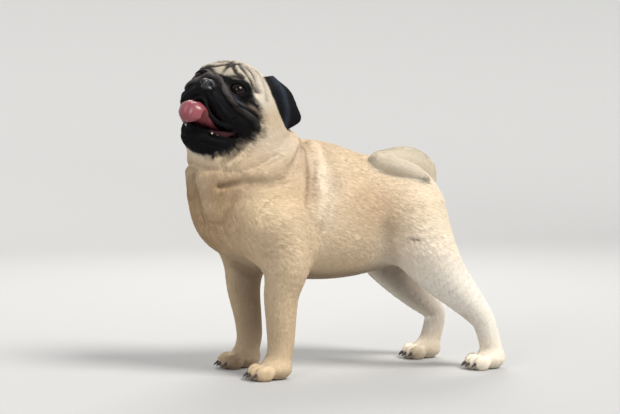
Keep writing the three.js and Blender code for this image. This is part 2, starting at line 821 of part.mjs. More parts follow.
// Neck and torso
const neckSkin = thinned(
  facets(fleshField, lines(-110, 120, 6), lines(-230, 20, 6), lines(190, 400, 6)),
  2300,
);
const headPlace = halfSpace(...HEAD_CUT, -GAP / 2).intersect(halfSpace(...THROAT_CUT, -GAP / 2));
addNode("neck", keep(solidOf(neckSkin), NECK_CUT).subtract(headPlace), FAWN);

const torsoSkin = thinned(
  facets(fleshField, lines(-114, 115, 6.5), lines(-214, 205, 7), lines(88, 340, 6.5)),
  2800,
);
let torso = drop(solidOf(torsoSkin), NECK_CUT);
for (const { cut } of Object.values(LEGS)) torso = drop(torso, cut);
addNode("torso", torso, FAWN);

// Tail: a tapered tube that curls forward over the rump and back along its left side
const TAIL = [
  [0, 116, 226, 18],
  [1, 140, 244, 18.5],
  [6, 138, 266, 18],
  [14, 112, 278, 18],
  [24, 82, 276, 17],
  [36, 65, 274, 15.5],
  [48, 79, 270, 14.5],
  [55, 99, 263, 12.5],
  [57, 118, 256, 8],
];
const tailPath = new THREE.CatmullRomCurve3(
  TAIL.map((p) => new THREE.Vector3(p[0], p[1], p[2])),
  false,
  "centripetal",
);
const TAIL_RINGS = 22;
const tailFrames = tailPath.computeFrenetFrames(TAIL_RINGS, false);
function tailRing(t, a) {
  const i = Math.round(t * TAIL_RINGS);
  const s = t * (TAIL.length - 1);
  const k = Math.min(TAIL.length - 2, Math.floor(s));
  const radius = mix(TAIL[k][3], TAIL[k + 1][3], s - k) * (t > 0.99 ? 0.5 : 1);
  return tailPath
    .getPointAt(t)
    .addScaledVector(tailFrames.normals[i], radius * Math.cos(a * 2 * Math.PI))
    .addScaledVector(tailFrames.binormals[i], radius * Math.sin(a * 2 * Math.PI))
    .toArray();
}
const tail = solidOf(swept(tailRing, TAIL_RINGS, 12));
addNode("tail", tail.subtract(solidOf(grown(torsoSkin, GAP))), FAWN);

// Legs, each with its paw, four toes and their claws
function claw(paw, i) {
  const [x, y, z] = toeAt(paw, i);
  return solidOf(
    new THREE.ConeGeometry(3, 10, 6)
      .rotateX(Math.PI + 0.4)
      .translate(x, y - paw.width * 0.27 - 0.5, z - 1),
  );
}
for (const [name, leg] of Object.entries(LEGS)) {
  const side = Math.sign(leg.paw.x);
  const ys = leg.stations.map((s) => s[1]);
  const xs = [side * 6, side * 122].sort((a, b) => a - b);
  const legSkin = thinned(
    facets(
      fleshField,
      lines(...xs, 4),
      lines(Math.min(...ys) - 72, Math.max(...ys) + 62, 4),
      lines(-6, 256, (z) => (z < 28 ? 4 : 7)),
    ),
    name.startsWith("fore") ? 1700 : 2000,
  );
  let solid = largest(keep(keep(solidOf(legSkin), leg.cut), [[0, 0, -GAP / 2], [0, 0, 1]]));
  for (let i = 0; i < TOES; i++) solid = solid.add(claw(leg.paw, i));
  addNode(name, solid, FAWN);
}

// The row's frame: centred under the dog, on the floor
const box = new THREE.Box3().setFromObject(dog);
const centre = box.getCenter(new THREE.Vector3());
dog.position.set(-centre.x, -centre.y, -box.min.z);

export default dog;
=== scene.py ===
"""A standing pug, life size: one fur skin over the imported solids, with its face, eyes, tongue and claws."""

import itertools
import math

import bpy
import numpy as np
from mathutils import Matrix, Vector
from mathutils.bvhtree import BVHTree


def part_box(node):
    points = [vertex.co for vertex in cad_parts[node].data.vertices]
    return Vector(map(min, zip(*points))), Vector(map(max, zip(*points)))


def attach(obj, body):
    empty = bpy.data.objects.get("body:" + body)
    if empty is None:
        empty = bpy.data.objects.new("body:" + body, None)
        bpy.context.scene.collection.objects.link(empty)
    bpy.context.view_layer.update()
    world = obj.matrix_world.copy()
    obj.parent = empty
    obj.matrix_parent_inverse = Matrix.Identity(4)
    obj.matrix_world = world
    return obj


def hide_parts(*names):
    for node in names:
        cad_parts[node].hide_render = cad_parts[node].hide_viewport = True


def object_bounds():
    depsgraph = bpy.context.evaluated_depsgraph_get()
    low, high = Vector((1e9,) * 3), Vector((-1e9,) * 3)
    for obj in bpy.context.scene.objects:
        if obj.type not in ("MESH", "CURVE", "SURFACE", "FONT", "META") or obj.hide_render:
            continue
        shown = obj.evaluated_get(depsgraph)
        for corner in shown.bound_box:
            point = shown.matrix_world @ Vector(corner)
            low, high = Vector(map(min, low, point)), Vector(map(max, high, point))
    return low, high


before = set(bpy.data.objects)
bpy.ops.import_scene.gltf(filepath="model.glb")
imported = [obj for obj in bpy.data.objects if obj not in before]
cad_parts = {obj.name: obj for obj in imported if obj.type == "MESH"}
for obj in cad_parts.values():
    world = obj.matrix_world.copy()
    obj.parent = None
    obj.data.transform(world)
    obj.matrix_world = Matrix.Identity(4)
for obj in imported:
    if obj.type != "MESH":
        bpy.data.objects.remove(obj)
cad_low, cad_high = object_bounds()
bpy.ops.object.select_all(action="DESELECT")
scene = bpy.context.scene

# Places: lengths in millimetres, nose towards -Y, the dog's left towards +X, floor at z = 0

HEAD_AT = np.array([10.0, -128.0, 357.0])
HEAD_TURN = np.array(
    Matrix.Rotation(math.radians(45), 3, "Z")
    @ Matrix.Rotation(math.radians(-14), 3, "X")
    @ Matrix.Rotation(math.radians(16), 3, "Y")
)
EYE_AT = np.array([28.0, -41.0, 5.0])
EYE_RADIUS = 11.5
GAZE = np.array([0.36, -0.9, 0.16])


def to_head(points):
    return (points - HEAD_AT) @ HEAD_TURN


def from_head(points):
    return np.asarray(points, float) @ HEAD_TURN.T + HEAD_AT


# The left eye's solid tells where this script's frame lies in the solids' frame
eye_low, eye_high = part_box("eye_left")
SHIFT = np.array((eye_low + eye_high) / 2) * 1000 - from_head(EYE_AT)


def metres(points):
    return (np.asarray(points, float) + SHIFT) / 1000


def design(points):
    return np.asarray(points, float) * 1000 - SHIFT


# Camera: the photograph's view

CAMERA_TARGET = np.array([0.0, -20.0, 216.0])
CAMERA_AZIMUTH = math.radians(70)
CAMERA_ELEVATION = math.radians(2.3)
CAMERA_DISTANCE = 1.93
back = Vector(
    (
        math.sin(CAMERA_AZIMUTH) * math.cos(CAMERA_ELEVATION),
        -math.cos(CAMERA_AZIMUTH) * math.cos(CAMERA_ELEVATION),
        math.sin(CAMERA_ELEVATION),
    )
)
camera_data = bpy.data.cameras.new("camera")
camera_data.lens = 85
camera_data.sensor_width = 36
camera = bpy.data.objects.new("camera", camera_data)
scene.collection.objects.link(camera)
camera.location = Vector(metres(CAMERA_TARGET)) + back * CAMERA_DISTANCE
camera.rotation_mode = "QUATERNION"
camera.rotation_quaternion = (-back).to_track_quat("-Z", "Y")
scene.camera = camera

# Distances from a shape: above 0 outside it, below 0 inside

# The distance given where no form is near, and how far round a form its own is worked out
FAR = 60.0
REACH = 26.0
# A fold is worked out as far as this many widths round its line
FOLD_REACH = 2.6


def smooth_min(a, b, blend):
    near = np.maximum(blend - np.abs(a - b), 0) / blend
    return np.minimum(a, b) - near * near * blend / 4


def smooth_max(a, b, blend):
    return -smooth_min(-a, -b, blend)


def smooth_step(low, high, x):
    t = np.clip((x - low) / (high - low), 0, 1)
    return t * t * (3 - 2 * t)


def ellipsoid(points, centre, radii):
    q = points - np.array(centre, float)
    radii = np.array(radii, float)
    scaled = np.linalg.norm(q / radii, axis=-1)
    slope = np.linalg.norm(q / radii**2, axis=-1)
    return np.where(scaled < 1e-5, -radii.min(), scaled * (scaled - 1) / np.maximum(slope, 1e-9))


def within(points, low, high, margin):
    return ((points > np.array(low) - margin) & (points < np.array(high) + margin)).all(axis=-1)


def blended(points, distance, forms):
    for centre, radii, blend in forms:
        low, high = np.array(centre) - radii, np.array(centre) + radii
        near = within(points, low, high, REACH)
        shape = ellipsoid(points[near], centre, radii)
        distance[near] = smooth_min(distance[near], shape, blend)
    return distance


def along_segment(points, a, b):
    a, b = np.array(a, float), np.array(b, float)
    d = b - a
    t = np.clip(((points - a) @ d) / (d @ d), 0, 1)
    return np.linalg.norm(points - a - t[:, None] * d, axis=1), t


def limb(points, stations):
    """Tapered rods joined through stations of (x, y, z, radius)."""
    best = np.full(len(points), FAR)
    held = np.array(stations, float)
    margin = held[:, 3].max() + REACH
    close = np.nonzero(within(points, held[:, :3].min(0), held[:, :3].max(0), margin))[0]
    part, found = points[close], np.full(len(close), FAR)
    for a, b in zip(held, held[1:]):
        ends = np.array([a[:3], b[:3]])
        near = np.nonzero(within(part, ends.min(0), ends.max(0), max(a[3], b[3]) + REACH))[0]
        distance, t = along_segment(part[near], a[:3], b[:3])
        found[near] = np.minimum(found[near], distance - a[3] - (b[3] - a[3]) * t)
    best[close] = found
    return best


def folded(points, folds):
    """How deep the folds press in; a fold is (points, depth, width), and a ridge has a depth below 0."""
    depth = np.zeros(len(points))
    for line, deep, wide in folds:
        ends = np.array(line, float)
        near = within(points, ends.min(0), ends.max(0), wide * FOLD_REACH)
        if not near.any():
            continue
        gap = np.full(near.sum(), FAR)
        for a, b in zip(line, line[1:]):
            gap = np.minimum(gap, along_segment(points[near], a, b)[0])
        depth[near] += deep * np.exp(-((gap / wide) ** 2))
    return depth


def mirrored(points):
    """The points, all brought to the left side."""
    side = points.copy()
    side[:, 0] = np.abs(side[:, 0])
    return side


def spline(line, count):
    """Even steps along a smooth curve through the points."""
    line = np.array(line, float)
    padded = np.vstack([2 * line[0] - line[1], line, 2 * line[-1] - line[-2]])
    made = []
    for s in np.linspace(0, len(line) - 1, count):
        i = min(int(s), len(line) - 2)
        t = s - i
        p = padded[i : i + 4]
        made.append(
            0.5
            * (
                2 * p[1]
                + (p[2] - p[0]) * t
                + (2 * p[0] - 5 * p[1] + 4 * p[2] - p[3]) * t**2
                + (3 * p[1] - p[0] - 3 * p[2] + p[3]) * t**3
            )
        )
    return np.array(made)


# Body forms, as in the solids: (centre, radii, how softly it joins the rest)

TORSO = [
    ((0, -50, 214), (77, 108, 80), 1),
    ((0, -126, 222), (58, 54, 60), 40),
    ((0, 45, 212), (68, 90, 72), 40),
    ((0, 104, 216), (62, 56, 62), 40),
    ((0, 0, 168), (56, 96, 42), 40),
    ((0, -34, 258), (40, 66, 41), 40),
    ((56, -84, 204), (28, 46, 62), 30),
    ((-56, -90, 204), (28, 46, 62), 30),
]
NECK = [
    ((6, -112, 306), (58, 58, 58), 24),
    ((2, -108, 268), (66, 68, 52), 26),
    ((8, -142, 262), (44, 44, 56), 26),
]
# Rolls and limbs go through stations of (x, y, z, radius); a paw is (x, y, length, width)
NECK_ROLL = [
    (0, -52, 305, 12), (34, -60, 297, 13), (57, -78, 281, 13), (63, -104, 266, 13),
    (54, -134, 261, 12), (32, -158, 262, 10), (4, -174, 264, 8), (-26, -164, 262, 9),
    (-52, -138, 258, 11), (-62, -104, 262, 12), (-54, -72, 278, 12), (-32, -56, 296, 12),
    (0, -52, 305, 12),
]
LEGS = {
    "foreleg_left": {
        "stations": [
            (60, -90, 196, 36), (64, -74, 150, 29), (59, -80, 108, 23),
            (57, -80, 70, 19.5), (56, -80, 42, 17.5), (56, -84, 22, 17),
        ],
        "paw": (57, -92, 54, 46),
    },
    "foreleg_right": {
        "stations": [
            (-60, -98, 196, 36), (-62, -92, 150, 29), (-57, -94, 108, 23),
            (-55, -89, 70, 19), (-54, -87, 42, 17.5), (-54, -91, 22, 17),
        ],
        "paw": (-54, -98, 54, 46),
    },
    "hindleg_left": {
        "stations": [
            (42, 104, 204, 50), (60, 119, 162, 41), (66, 143, 127, 31), (67, 176, 93, 22),
            (66, 199, 68, 16.5), (66, 207, 50, 15), (66, 215, 22, 15),
        ],
        "paw": (67, 207, 52, 42),
    },
    "hindleg_right": {
        "stations": [
            (-42, 100, 204, 50), (-58, 108, 158, 40), (-59, 130, 122, 30), (-57, 162, 88, 21.5),
            (-56, 184, 68, 16.5), (-55, 186, 50, 15), (-55, 178, 22, 15),
        ],
        "paw": (-55, 169, 52, 42),
    },
}
TAIL = [
    (0, 116, 226, 18), (1, 140, 244, 18.5), (6, 138, 266, 18), (14, 112, 278, 18), (24, 82, 276, 17),
    (36, 65, 274, 15.5), (48, 79, 270, 14.5), (55, 99, 263, 12.5), (57, 118, 256, 8),
]
TAIL_PATH = spline(TAIL, 34)
ROLL_PATH = spline(NECK_ROLL, 40)
LEG_PATHS = {name: spline(leg["stations"], 26) for name, leg in LEGS.items()}


def both_sides(folds):
    """The folds as measured on the near side, and the same on the far side."""
    across = [([(-x, y, z) for x, y, z in line], deep, wide) for line, deep, wide in folds]
    return folds + across


# Folds: (points, depth, width)
BODY_FOLDS = both_sides(
    [
        ([(67, -123, 300), (64, -139, 285), (58, -157, 271)], 4.6, 4.0),
        ([(59, -157, 264), (70, -136, 265), (74, -118, 271), (71, -89, 285)], 4.8, 4.0),
        ([(50, -158, 246), (72, -126, 250), (79, -103, 251), (77, -79, 257), (65, -63, 273)], 5.2, 5.0),
        ([(65, -63, 273), (53, -54, 289), (20, -46, 302)], 3.8, 5.2),
        ([(20, -38, 300), (45, -38, 289), (61, -40, 271), (74, -46, 250), (82, -52, 226)], 4.4, 6.5),
        ([(22, -24, 298), (44, -26, 288), (62, -27, 264), (75, -30, 238), (82, -36, 206)], -2.6, 10.0),
        ([(26, -14, 292), (58, -10, 266), (74, -12, 240)], 1.6, 9.0),
        ([(78, -100, 214), (84, -92, 186), (82, -112, 160)], 1.6, 12.0),
    ]
)
THROAT_FOLDS = [
    ([(-36, -168, 268), (0, -188, 274), (25, -187, 272), (43, -176, 267), (60, -155, 266)], 4.6, 4.0),
    ([(-40, -150, 232), (-6, -184, 246), (23, -186, 262)], 1.6, 6.0),
    (
        [
            (23, -187, 264), (29, -182, 234), (26, -177, 208), (33, -168, 197), (47, -156, 196),
            (58, -150, 216), (64, -144, 239), (70, -133, 256),
        ],
        3.2,
        4.4,
    ),
    ([(36, -182, 250), (40, -174, 222)], -2.0, 12.0),
    ([(10, -162, 176), (0, -150, 150)], 2.0, 8.0),
]
THIGH_FOLDS = [
    ([(76, 60, 190), (70, 62, 160), (56, 70, 146)], 3.0, 10.0),
    ([(-74, 58, 190), (-68, 60, 160), (-54, 68, 146)], 3.0, 10.0),
    ([(74, 158, 118), (78, 140, 140)], 1.4, 9.0),
    ([(78, 188, 84), (70, 200, 62)], -1.6, 6.0),
    ([(76, 168, 74), (76, 186, 52)], 1.8, 6.0),
]
TRUNK_FOLDS = BODY_FOLDS + THROAT_FOLDS + THIGH_FOLDS

# Head forms, in the head's own frame; paired forms give the left one

SKULL = [
    ((0, 8, 3), (54, 54, 42), 1),
    ((0, -14, 11), (43, 33, 32), 16),
    ((0, 16, -30), (44, 40, 42), 24),
]
SKULL_PAIRS = [
    ((34, -6, -14), (27, 34, 32), 20),
    ((22, -34, 18), (17, 13, 11), 10),
    ((17, -55, -14), (19, 18, 16), 9),
    ((28, -46, -26), (13, 19, 14), 10),
    ((36, -30, -34), (11, 15, 12), 10),
]
MUZZLE = [((0, -48, -10), (26, 22, 20), 12)]
NOSE_ROLL = [
    (0, -63, 10, 4.6),
    (8, -62.5, 10.5, 4.8),
    (15, -60.5, 6, 5),
    (25, -62, -3, 5),
    (33, -56.5, -10, 5),
    (40, -45, -13, 5),
    (47, -35, -15.5, 4.8),
    (53, -27, -18.5, 4.5),
    (57, -20, -25, 4.2),
]
JAW = [
    ((0, -40, -66), (21, 16, 16), 8),
    ((0, -10, -66), (36, 34, 22), 14),
]
JAW_SIDES = [
    (7, -43, -65, 12.5),
    (25, -28, -61, 12.5),
    (38, -4, -49, 14),
]
MOUTH = [
    ((0, -70, -41), (28, 36, 14), 1),
    ((0, -74, -34), (14, 34, 12), 4),
    ((0, -46, -47.5), (66, 25, 6), 5),
]
ROLL_BELOW = [
    (0, -67, 5.5), (8, -68, 5), (13, -66, 2), (21, -69, -6.5), (31, -66, -14), (39, -53, -19),
    (45, -40, -22), (53, -31, -26), (57, -24, -33),
]
ROLL_ABOVE = [
    (0, -60, 15.5), (6, -60, 16.5), (13, -59, 13), (20, -60, 7), (29, -60, -2), (36, -52.5, -9),
    (43, -44, -11), (50, -34, -13), (57, -25, -16), (61, -17, -23),
]
JOWL = [(61, -18, -18), (64, -15, -32), (60, -20, -44), (49, -29, -61), (41, -34, -74), (28, -39, -83)]
FACE_FOLDS = [
    (ROLL_BELOW, 4.2, 2.5),
    (ROLL_ABOVE, 3.6, 2.4),
    (JOWL, 3.0, 3.0),
    ([(55, -27, -28), (56, -24, -40), (48, -30, -52), (41, -36, -63), (30, -44, -70)], 2.6, 2.6),
    ([(16, -50, -59), (28, -44, -59), (38, -37, -56), (45, -32, -51), (51, -31, -42)], 2.0, 2.0),
    ([(0, -52, 18), (0, -44, 29), (3, -34, 38), (8, -24, 44)], 3.4, 2.4),
    ([(1, -31, 39), (6, -38, 33), (16, -43, 26), (28, -43, 23.5)], 2.8, 2.3),
    ([(4, -27, 43), (15, -33, 36), (32, -38, 28), (39, -35, 20), (45, -29, 13)], 3.0, 2.5),
    ([(15, -26, 41), (27, -26, 34), (40, -29, 25), (48, -27, 14)], 2.4, 2.6),
    ([(20, -14, 42), (36, -16, 36), (50, -17, 22), (56, -16, 8)], 1.6, 3.0),
    ([(12, -49, 18), (20, -47, 22), (28, -45, 21), (36, -43, 17), (42, -38, 10)], 2.8, 2.2),
    ([(24, -58, -5), (31, -57, -4), (36, -52, -6), (40, -45, -5), (42, -42, 2)], 1.8, 1.7),
    ([(30, -60, -8), (36, -55, -9), (41, -46, -9.5), (44, -39, -4), (45, -36, 4)], 2.2, 2.0),
    ([(39, -51, -14), (45, -42, -12), (49, -36, -5)], 1.2, 2.0),
    ([(47, -35, 4), (55, -27, -2), (61, -18, -10), (63, -12, -20)], 1.8, 2.2),
    ([(0, -76, -8), (0, -78, -28)], 3.4, 2.0),
    ([(3, -73, -14), (10, -71, -22), (14, -67, -31)], 1.8, 1.8),
    ([(11, -73, -12), (18, -73, -16), (29, -68, -22), (36, -61, -27), (40, -50, -31)], 2.2, 2.0),
    ([(20, -71, -18), (28, -65, -27), (34, -56, -34)], 1.4, 1.8),
    ([(12, -54, -70), (24, -44, -68), (36, -30, -64)], 1.6, 2.6),
]
# Rolled edges of the lips, added once the mouth is open
UPPER_LIP = [
    (0, -71, -20, 2.4), (7, -71, -23, 2.6), (12, -70, -30, 3), (18, -66, -37, 3.2),
    (27, -57, -41.5, 3.2), (36, -46, -41, 3), (43, -37.5, -38, 2.6), (47, -33, -36, 2.2),
]
LOWER_LIP = [
    (0, -56, -55, 2.8), (10, -56, -55, 2.8), (19, -50.5, -54, 3), (28, -44, -51.5, 3.2),
    (36, -38, -48.5, 3.2), (42, -34.5, -44, 3), (47, -32.5, -39, 2.6),
]
EAR_ROWS = [
    ((36, -6, 36), (41, 3, 42), (42, 12, 40)),
    ((47, -4, 26), (57, 11, 30), (58, 26, 33)),
    ((52, 0, 11), (67, 19, 12), (71, 36, 17)),
    ((56, 8, 0), (69, 27, -1), (77, 44, 5)),
    ((58, 20, -8), (67, 31, -12), (71, 37, -9)),
]
NOSE_PATH = spline(NOSE_ROLL, 24)
JAW_PATH = spline(JAW_SIDES, 8)
UPPER_PATH = spline(UPPER_LIP, 20)
LOWER_PATH = spline(LOWER_LIP, 18)
EAR_CUP = 5.0
EAR_HALF = 1.6
EAR_REACH = 9


def ear_sheet(side, steps=28, across=20):
    """Points over the middle of an ear's flap, row by row from root to tip."""
    inner, ridge, outer = (spline([row[i] for row in EAR_ROWS], steps) for i in range(3))
    rows = []
    for k, t in enumerate(np.linspace(0, 1, steps)):
        for v in np.linspace(0, 1, across):
            if v < 0.5:
                p = inner[k] + (ridge[k] - inner[k]) * v * 2
                hollow = EAR_CUP * math.sin(v * 2 * math.pi) * math.sin(math.pi * t)
                p = p + np.array([-0.6 * hollow, 0.8 * hollow, 0])
            else:
                p = ridge[k] + (outer[k] - ridge[k]) * (v * 2 - 1)
            rows.append((side * p[0], p[1], p[2]))
    faces = [
        (k * across + j, k * across + j + 1, (k + 1) * across + j + 1, (k + 1) * across + j)
        for k in range(steps - 1)
        for j in range(across - 1)
    ]
    points = from_head(rows)
    tree = BVHTree.FromPolygons([Vector(p) for p in points], faces)
    return points, tree


EARS = [ear_sheet(1), ear_sheet(-1)]


def ear_distance(points):
    distance = np.full(len(points), FAR)
    for sheet, tree in EARS:
        near = np.nonzero(within(points, sheet.min(0), sheet.max(0), EAR_REACH))[0]
        found = [tree.find_nearest(Vector(points[i]))[3] for i in near]
        distance[near] = np.minimum(distance[near], np.array(found) - EAR_HALF)
    return distance


# Eyes in their lids


def gaze_frame(side):
    """Unit vectors across, along and up the look of one eye, in the head's frame."""
    along = GAZE * (side, 1, 1)
    along = along / np.linalg.norm(along)
    across = np.cross(along, (0, 0, 1))
    across /= np.linalg.norm(across)
    return across, along, np.cross(across, along)


LID_WIDE, LID_HIGH, LID_THICK = 9.6, 7.0, 2.3
LID_REACH = 24


def with_lids(q, distance):
    """The head's distance with a lid round each eye, opened along the look."""
    for side in (1, -1):
        centre = EYE_AT * (side, 1, 1)
        near = within(q, centre, centre, LID_REACH)
        offset = q[near] - centre
        across, along, up = gaze_frame(side)
        u, v, w = offset @ across, offset @ along, offset @ up
        ball = np.linalg.norm(offset, axis=1)
        lids = smooth_min(distance[near], ball - EYE_RADIUS - LID_THICK, 4)
        rim = (np.abs(u) / LID_WIDE) ** 1.7 + (np.abs(w - 0.4) / LID_HIGH) ** 2
        opening = np.maximum((rim**0.55 - 1) * LID_HIGH, np.maximum(EYE_RADIUS - 0.9 - ball, -v))
        distance[near] = smooth_max(lids, -opening, 1.2)
    return distance


def closed_head(q):
    """Distance from the head while its mouth is shut, without folds and nose roll."""
    side = mirrored(q)
    d = blended(q, np.full(len(q), FAR), SKULL)
    d = blended(side, d, SKULL_PAIRS)
    d = blended(q, d, MUZZLE + JAW)
    return smooth_min(d, limb(side, JAW_PATH), 12)


def head_distance(q):
    side = mirrored(q)
    d = smooth_min(closed_head(q), limb(side, NOSE_PATH), 4)
    return with_lids(q, d + folded(side, FACE_FOLDS))


def toe_at(paw, i):
    """The middle of one of the four toes."""
    x, y, length, width = paw
    outer = i in (0, 3)
    return (x + (i - 1.5) * width * 0.235, y - length * (0.27 if outer else 0.36), 9.5)


def paw_distance(points, paw):
    x, y, length, width = paw
    d = ellipsoid(points, (x, y + 4, 13), (width * 0.42, length * 0.4, 14))
    for i in range(4):
        toe = ellipsoid(points, toe_at(paw, i), (width * 0.15, width * 0.27, 10.5))
        d = smooth_min(d, toe, 3)
    return d


# Depth of the coat over the skin, and how softly each form joins the others
COAT = {"trunk": 1.5, "leg": 1.0, "paw": 0.5, "tail": 1.6, "head": 0.5}
BLEND = {"roll": 8, "leg": 22, "paw": 8, "tail": 2.5, "head": 14, "ear": 3, "mouth": 2, "lip": 2.5}
PAW_TOP = 60
HEAD_BOTTOM = 220


def mouth_distance(points):
    return blended(to_head(points), np.full(len(points), FAR), MOUTH)


def folded_head(points):
    """Points in the head's frame, all brought to its left side."""
    return mirrored(to_head(points))


def lip_distance(points):
    """Distance from the rolled edges of the lips, drawn in by the depth of the coat."""
    side = folded_head(points)
    return np.minimum(limb(side, UPPER_PATH), limb(side, LOWER_PATH)) + COAT["head"]


def flesh(points):
    """Distance from the skin, which lies under the solids' surface by the depth of the coat."""
    d = blended(points, np.full(len(points), FAR), TORSO)
    d = blended(points, d, NECK)
    d = smooth_min(d, limb(points, ROLL_PATH), BLEND["roll"])
    d = d + folded(points, TRUNK_FOLDS) + COAT["trunk"]
    for name, leg in LEGS.items():
        d = smooth_min(d, limb(points, LEG_PATHS[name]) + COAT["leg"], BLEND["leg"])
        low = points[:, 2] < PAW_TOP
        d[low] = smooth_min(d[low], paw_distance(points[low], leg["paw"]) + COAT["paw"], BLEND["paw"])
    d = smooth_min(d, limb(points, TAIL_PATH) + COAT["tail"], BLEND["tail"])
    high = points[:, 2] > HEAD_BOTTOM
    upper = points[high]
    top = smooth_min(d[high], head_distance(to_head(upper)) + COAT["head"], BLEND["head"])
    top = smooth_min(top, ear_distance(upper), BLEND["ear"])
    top = smooth_max(top, -mouth_distance(upper), BLEND["mouth"])
    d[high] = smooth_min(top, lip_distance(upper), BLEND["lip"])
    return np.maximum(d, -points[:, 2])


# The skin: a net over the grid cells that the surface crosses

# Grid points nearer to the surface than this are worked out in full, so many at a time
NEAR_SURFACE = 9
BATCH = 400000


def graded(low, high, steps):
    """Grid marks from low to high; steps are (up to, size)."""
    marks = [low]
    while marks[-1] < high:
        size = next(size for limit, size in steps if marks[-1] < limit)
        marks.append(marks[-1] + size)
    return np.array(marks)


def between(marks, coarse, values, axis):
    """Values at coarse marks, spread in straight lines to all marks."""
    i = np.clip(np.searchsorted(coarse, marks) - 1, 0, len(coarse) - 2)
    t = (marks - coarse[i]) / (coarse[i + 1] - coarse[i])
    shape = [1, 1, 1]
    shape[axis] = len(marks)
    t = t.reshape(shape)
    return values.take(i, axis) * (1 - t) + values.take(i + 1, axis) * t


def on_grid(distance, marks):
    """Distances on the grid, worked out in full only near the surface."""
    coarse = [np.append(m[:-1:4], m[-1]) for m in marks]
    places = np.stack(np.meshgrid(*coarse, indexing="ij"), -1).reshape(-1, 3)
    values = distance(places).reshape([len(m) for m in coarse])
    for axis in range(3):
        values = between(marks[axis], coarse[axis], values, axis)
    i, j, k = np.nonzero(np.abs(values) < NEAR_SURFACE)
    near = np.stack([marks[0][i], marks[1][j], marks[2][k]], -1)
    for start in range(0, len(near), BATCH):
        part = slice(start, start + BATCH)
        values[i[part], j[part], k[part]] = distance(near[part])
    return values


def net(values, marks):
    """Points and quads of the surface where the values pass through 0, a point in each cell it crosses."""
    inside = values < 0
    corners = list(itertools.product((0, 1), repeat=3))
    size = np.array(values.shape) - 1

    def at(grid, corner):
        a, b, c = corner
        return grid[a : a + size[0], b : b + size[1], c : c + size[2]]

    filled = sum(at(inside, corner).astype(np.int8) for corner in corners)
    active = (filled > 0) & (filled < 8)
    number = np.full(active.shape, -1)
    number[active] = np.arange(active.sum())
    held = {corner: at(values, corner)[active] for corner in corners}
    total = np.zeros((active.sum(), 3))
    count = np.zeros(active.sum())
    for low in corners:
        for axis in range(3):
            if low[axis]:
                continue
            high = tuple(1 if n == axis else v for n, v in enumerate(low))
            a, b = held[low], held[high]
            crosses = (a < 0) != (b < 0)
            t = np.where(crosses, a / np.where(crosses, a - b, 1), 0)
            place = np.array(low)[None, :] + t[:, None] * np.eye(3)[axis]
            total += place * crosses[:, None]
            count += crosses
    local = total / count[:, None]
    cell = np.stack(np.nonzero(active), -1)
    steps = [marks[n][cell[:, n]] + local[:, n] * np.diff(marks[n])[cell[:, n]] for n in range(3)]
    points = np.stack(steps, -1)
    quads = []
    one = np.eye(3, dtype=int)
    for axis in range(3):
        changed = inside != np.roll(inside, -1, axis)
        base = np.stack(np.nonzero(changed[1:-1, 1:-1, 1:-1]), -1) + 1
        first, second = [n for n in range(3) if n != axis]
        if axis == 1:
            first, second = second, first
        ring = [base, base - one[first], base - one[first] - one[second], base - one[second]]
        quad = np.stack([number[r[:, 0], r[:, 1], r[:, 2]] for r in ring], -1)
        solid_low = inside[base[:, 0], base[:, 1], base[:, 2]]
        quads.append(np.where(solid_low[:, None], quad, quad[:, ::-1]))
    return points, np.concatenate(quads)


def slopes(distance, points, step=0.15):
    """The distance at each point and how it changes along x, y and z."""
    here = distance(points)
    ahead = [distance(points + step * axis) for axis in np.eye(3)]
    return here, np.stack([(value - here) / step for value in ahead], -1)


# Limits on how a point is drawn onto the surface
LEAST_SLOPE = 0.25
LONGEST_MOVE = 1.2


def settled(points, quads, distance, rounds=3):
    """The net eased to even cells and drawn back onto the surface."""
    edges = np.concatenate([quads[:, [n, (n + 1) % 4]] for n in range(4)])
    count = np.bincount(edges[:, 0], minlength=len(points))
    for turn in range(rounds):
        if turn < rounds - 1:
            total = np.zeros_like(points)
            for n in range(3):
                total[:, n] = np.bincount(edges[:, 0], points[edges[:, 1], n], len(points))
            points = points * 0.5 + 0.5 * total / count[:, None]
        here, slope = slopes(distance, points)
        steep = np.maximum((slope**2).sum(1), LEAST_SLOPE)
        move = slope * (here / steep)[:, None]
        length = np.linalg.norm(move, axis=1)
        points = points - move * np.minimum(1, LONGEST_MOVE / np.maximum(length, 1e-9))[:, None]
    return points


# Grid marks along x, y and z, closest round the face
MARKS = [
    graded(-106, 106, [(-66, 3.4), (84, 1.5), (999, 3.4)]),
    graded(-222, 238, [(-58, 1.5), (-40, 2.4), (999, 3.4)]),
    graded(-5, 414, [(28, 2.2), (268, 3.4), (290, 2.2), (392, 1.5), (999, 2.2)]),
]
# Skin and coat stay a little inside the solids' box
BOX_LOW = design(np.array(cad_low)) + 0.15
BOX_HIGH = design(np.array(cad_high)) - 0.15
SOLE_AT = 0.02
CROWN_AT = BOX_HIGH[2] - 0.3
skin_points, skin_quads = net(on_grid(flesh, MARKS), MARKS)
skin_points = settled(skin_points, skin_quads, flesh)
skin_points[:, 2] = np.clip(skin_points[:, 2], SOLE_AT, CROWN_AT)


def largest_piece(points, quads):
    """Drops loose scraps: keeps the piece that holds most points."""
    label = np.arange(len(points))
    while True:
        low = label[quads].min(1)
        fresh = label.copy()
        for n in range(4):
            np.minimum.at(fresh, quads[:, n], low)
        fresh = fresh[fresh]
        if (fresh == label).all():
            break
        label = fresh
    names, sizes = np.unique(label, return_counts=True)
    kept = label == names[sizes.argmax()]
    order = np.cumsum(kept) - 1
    return points[kept], order[quads[kept[quads[:, 0]]]]


skin_points, skin_quads = largest_piece(skin_points, skin_quads)


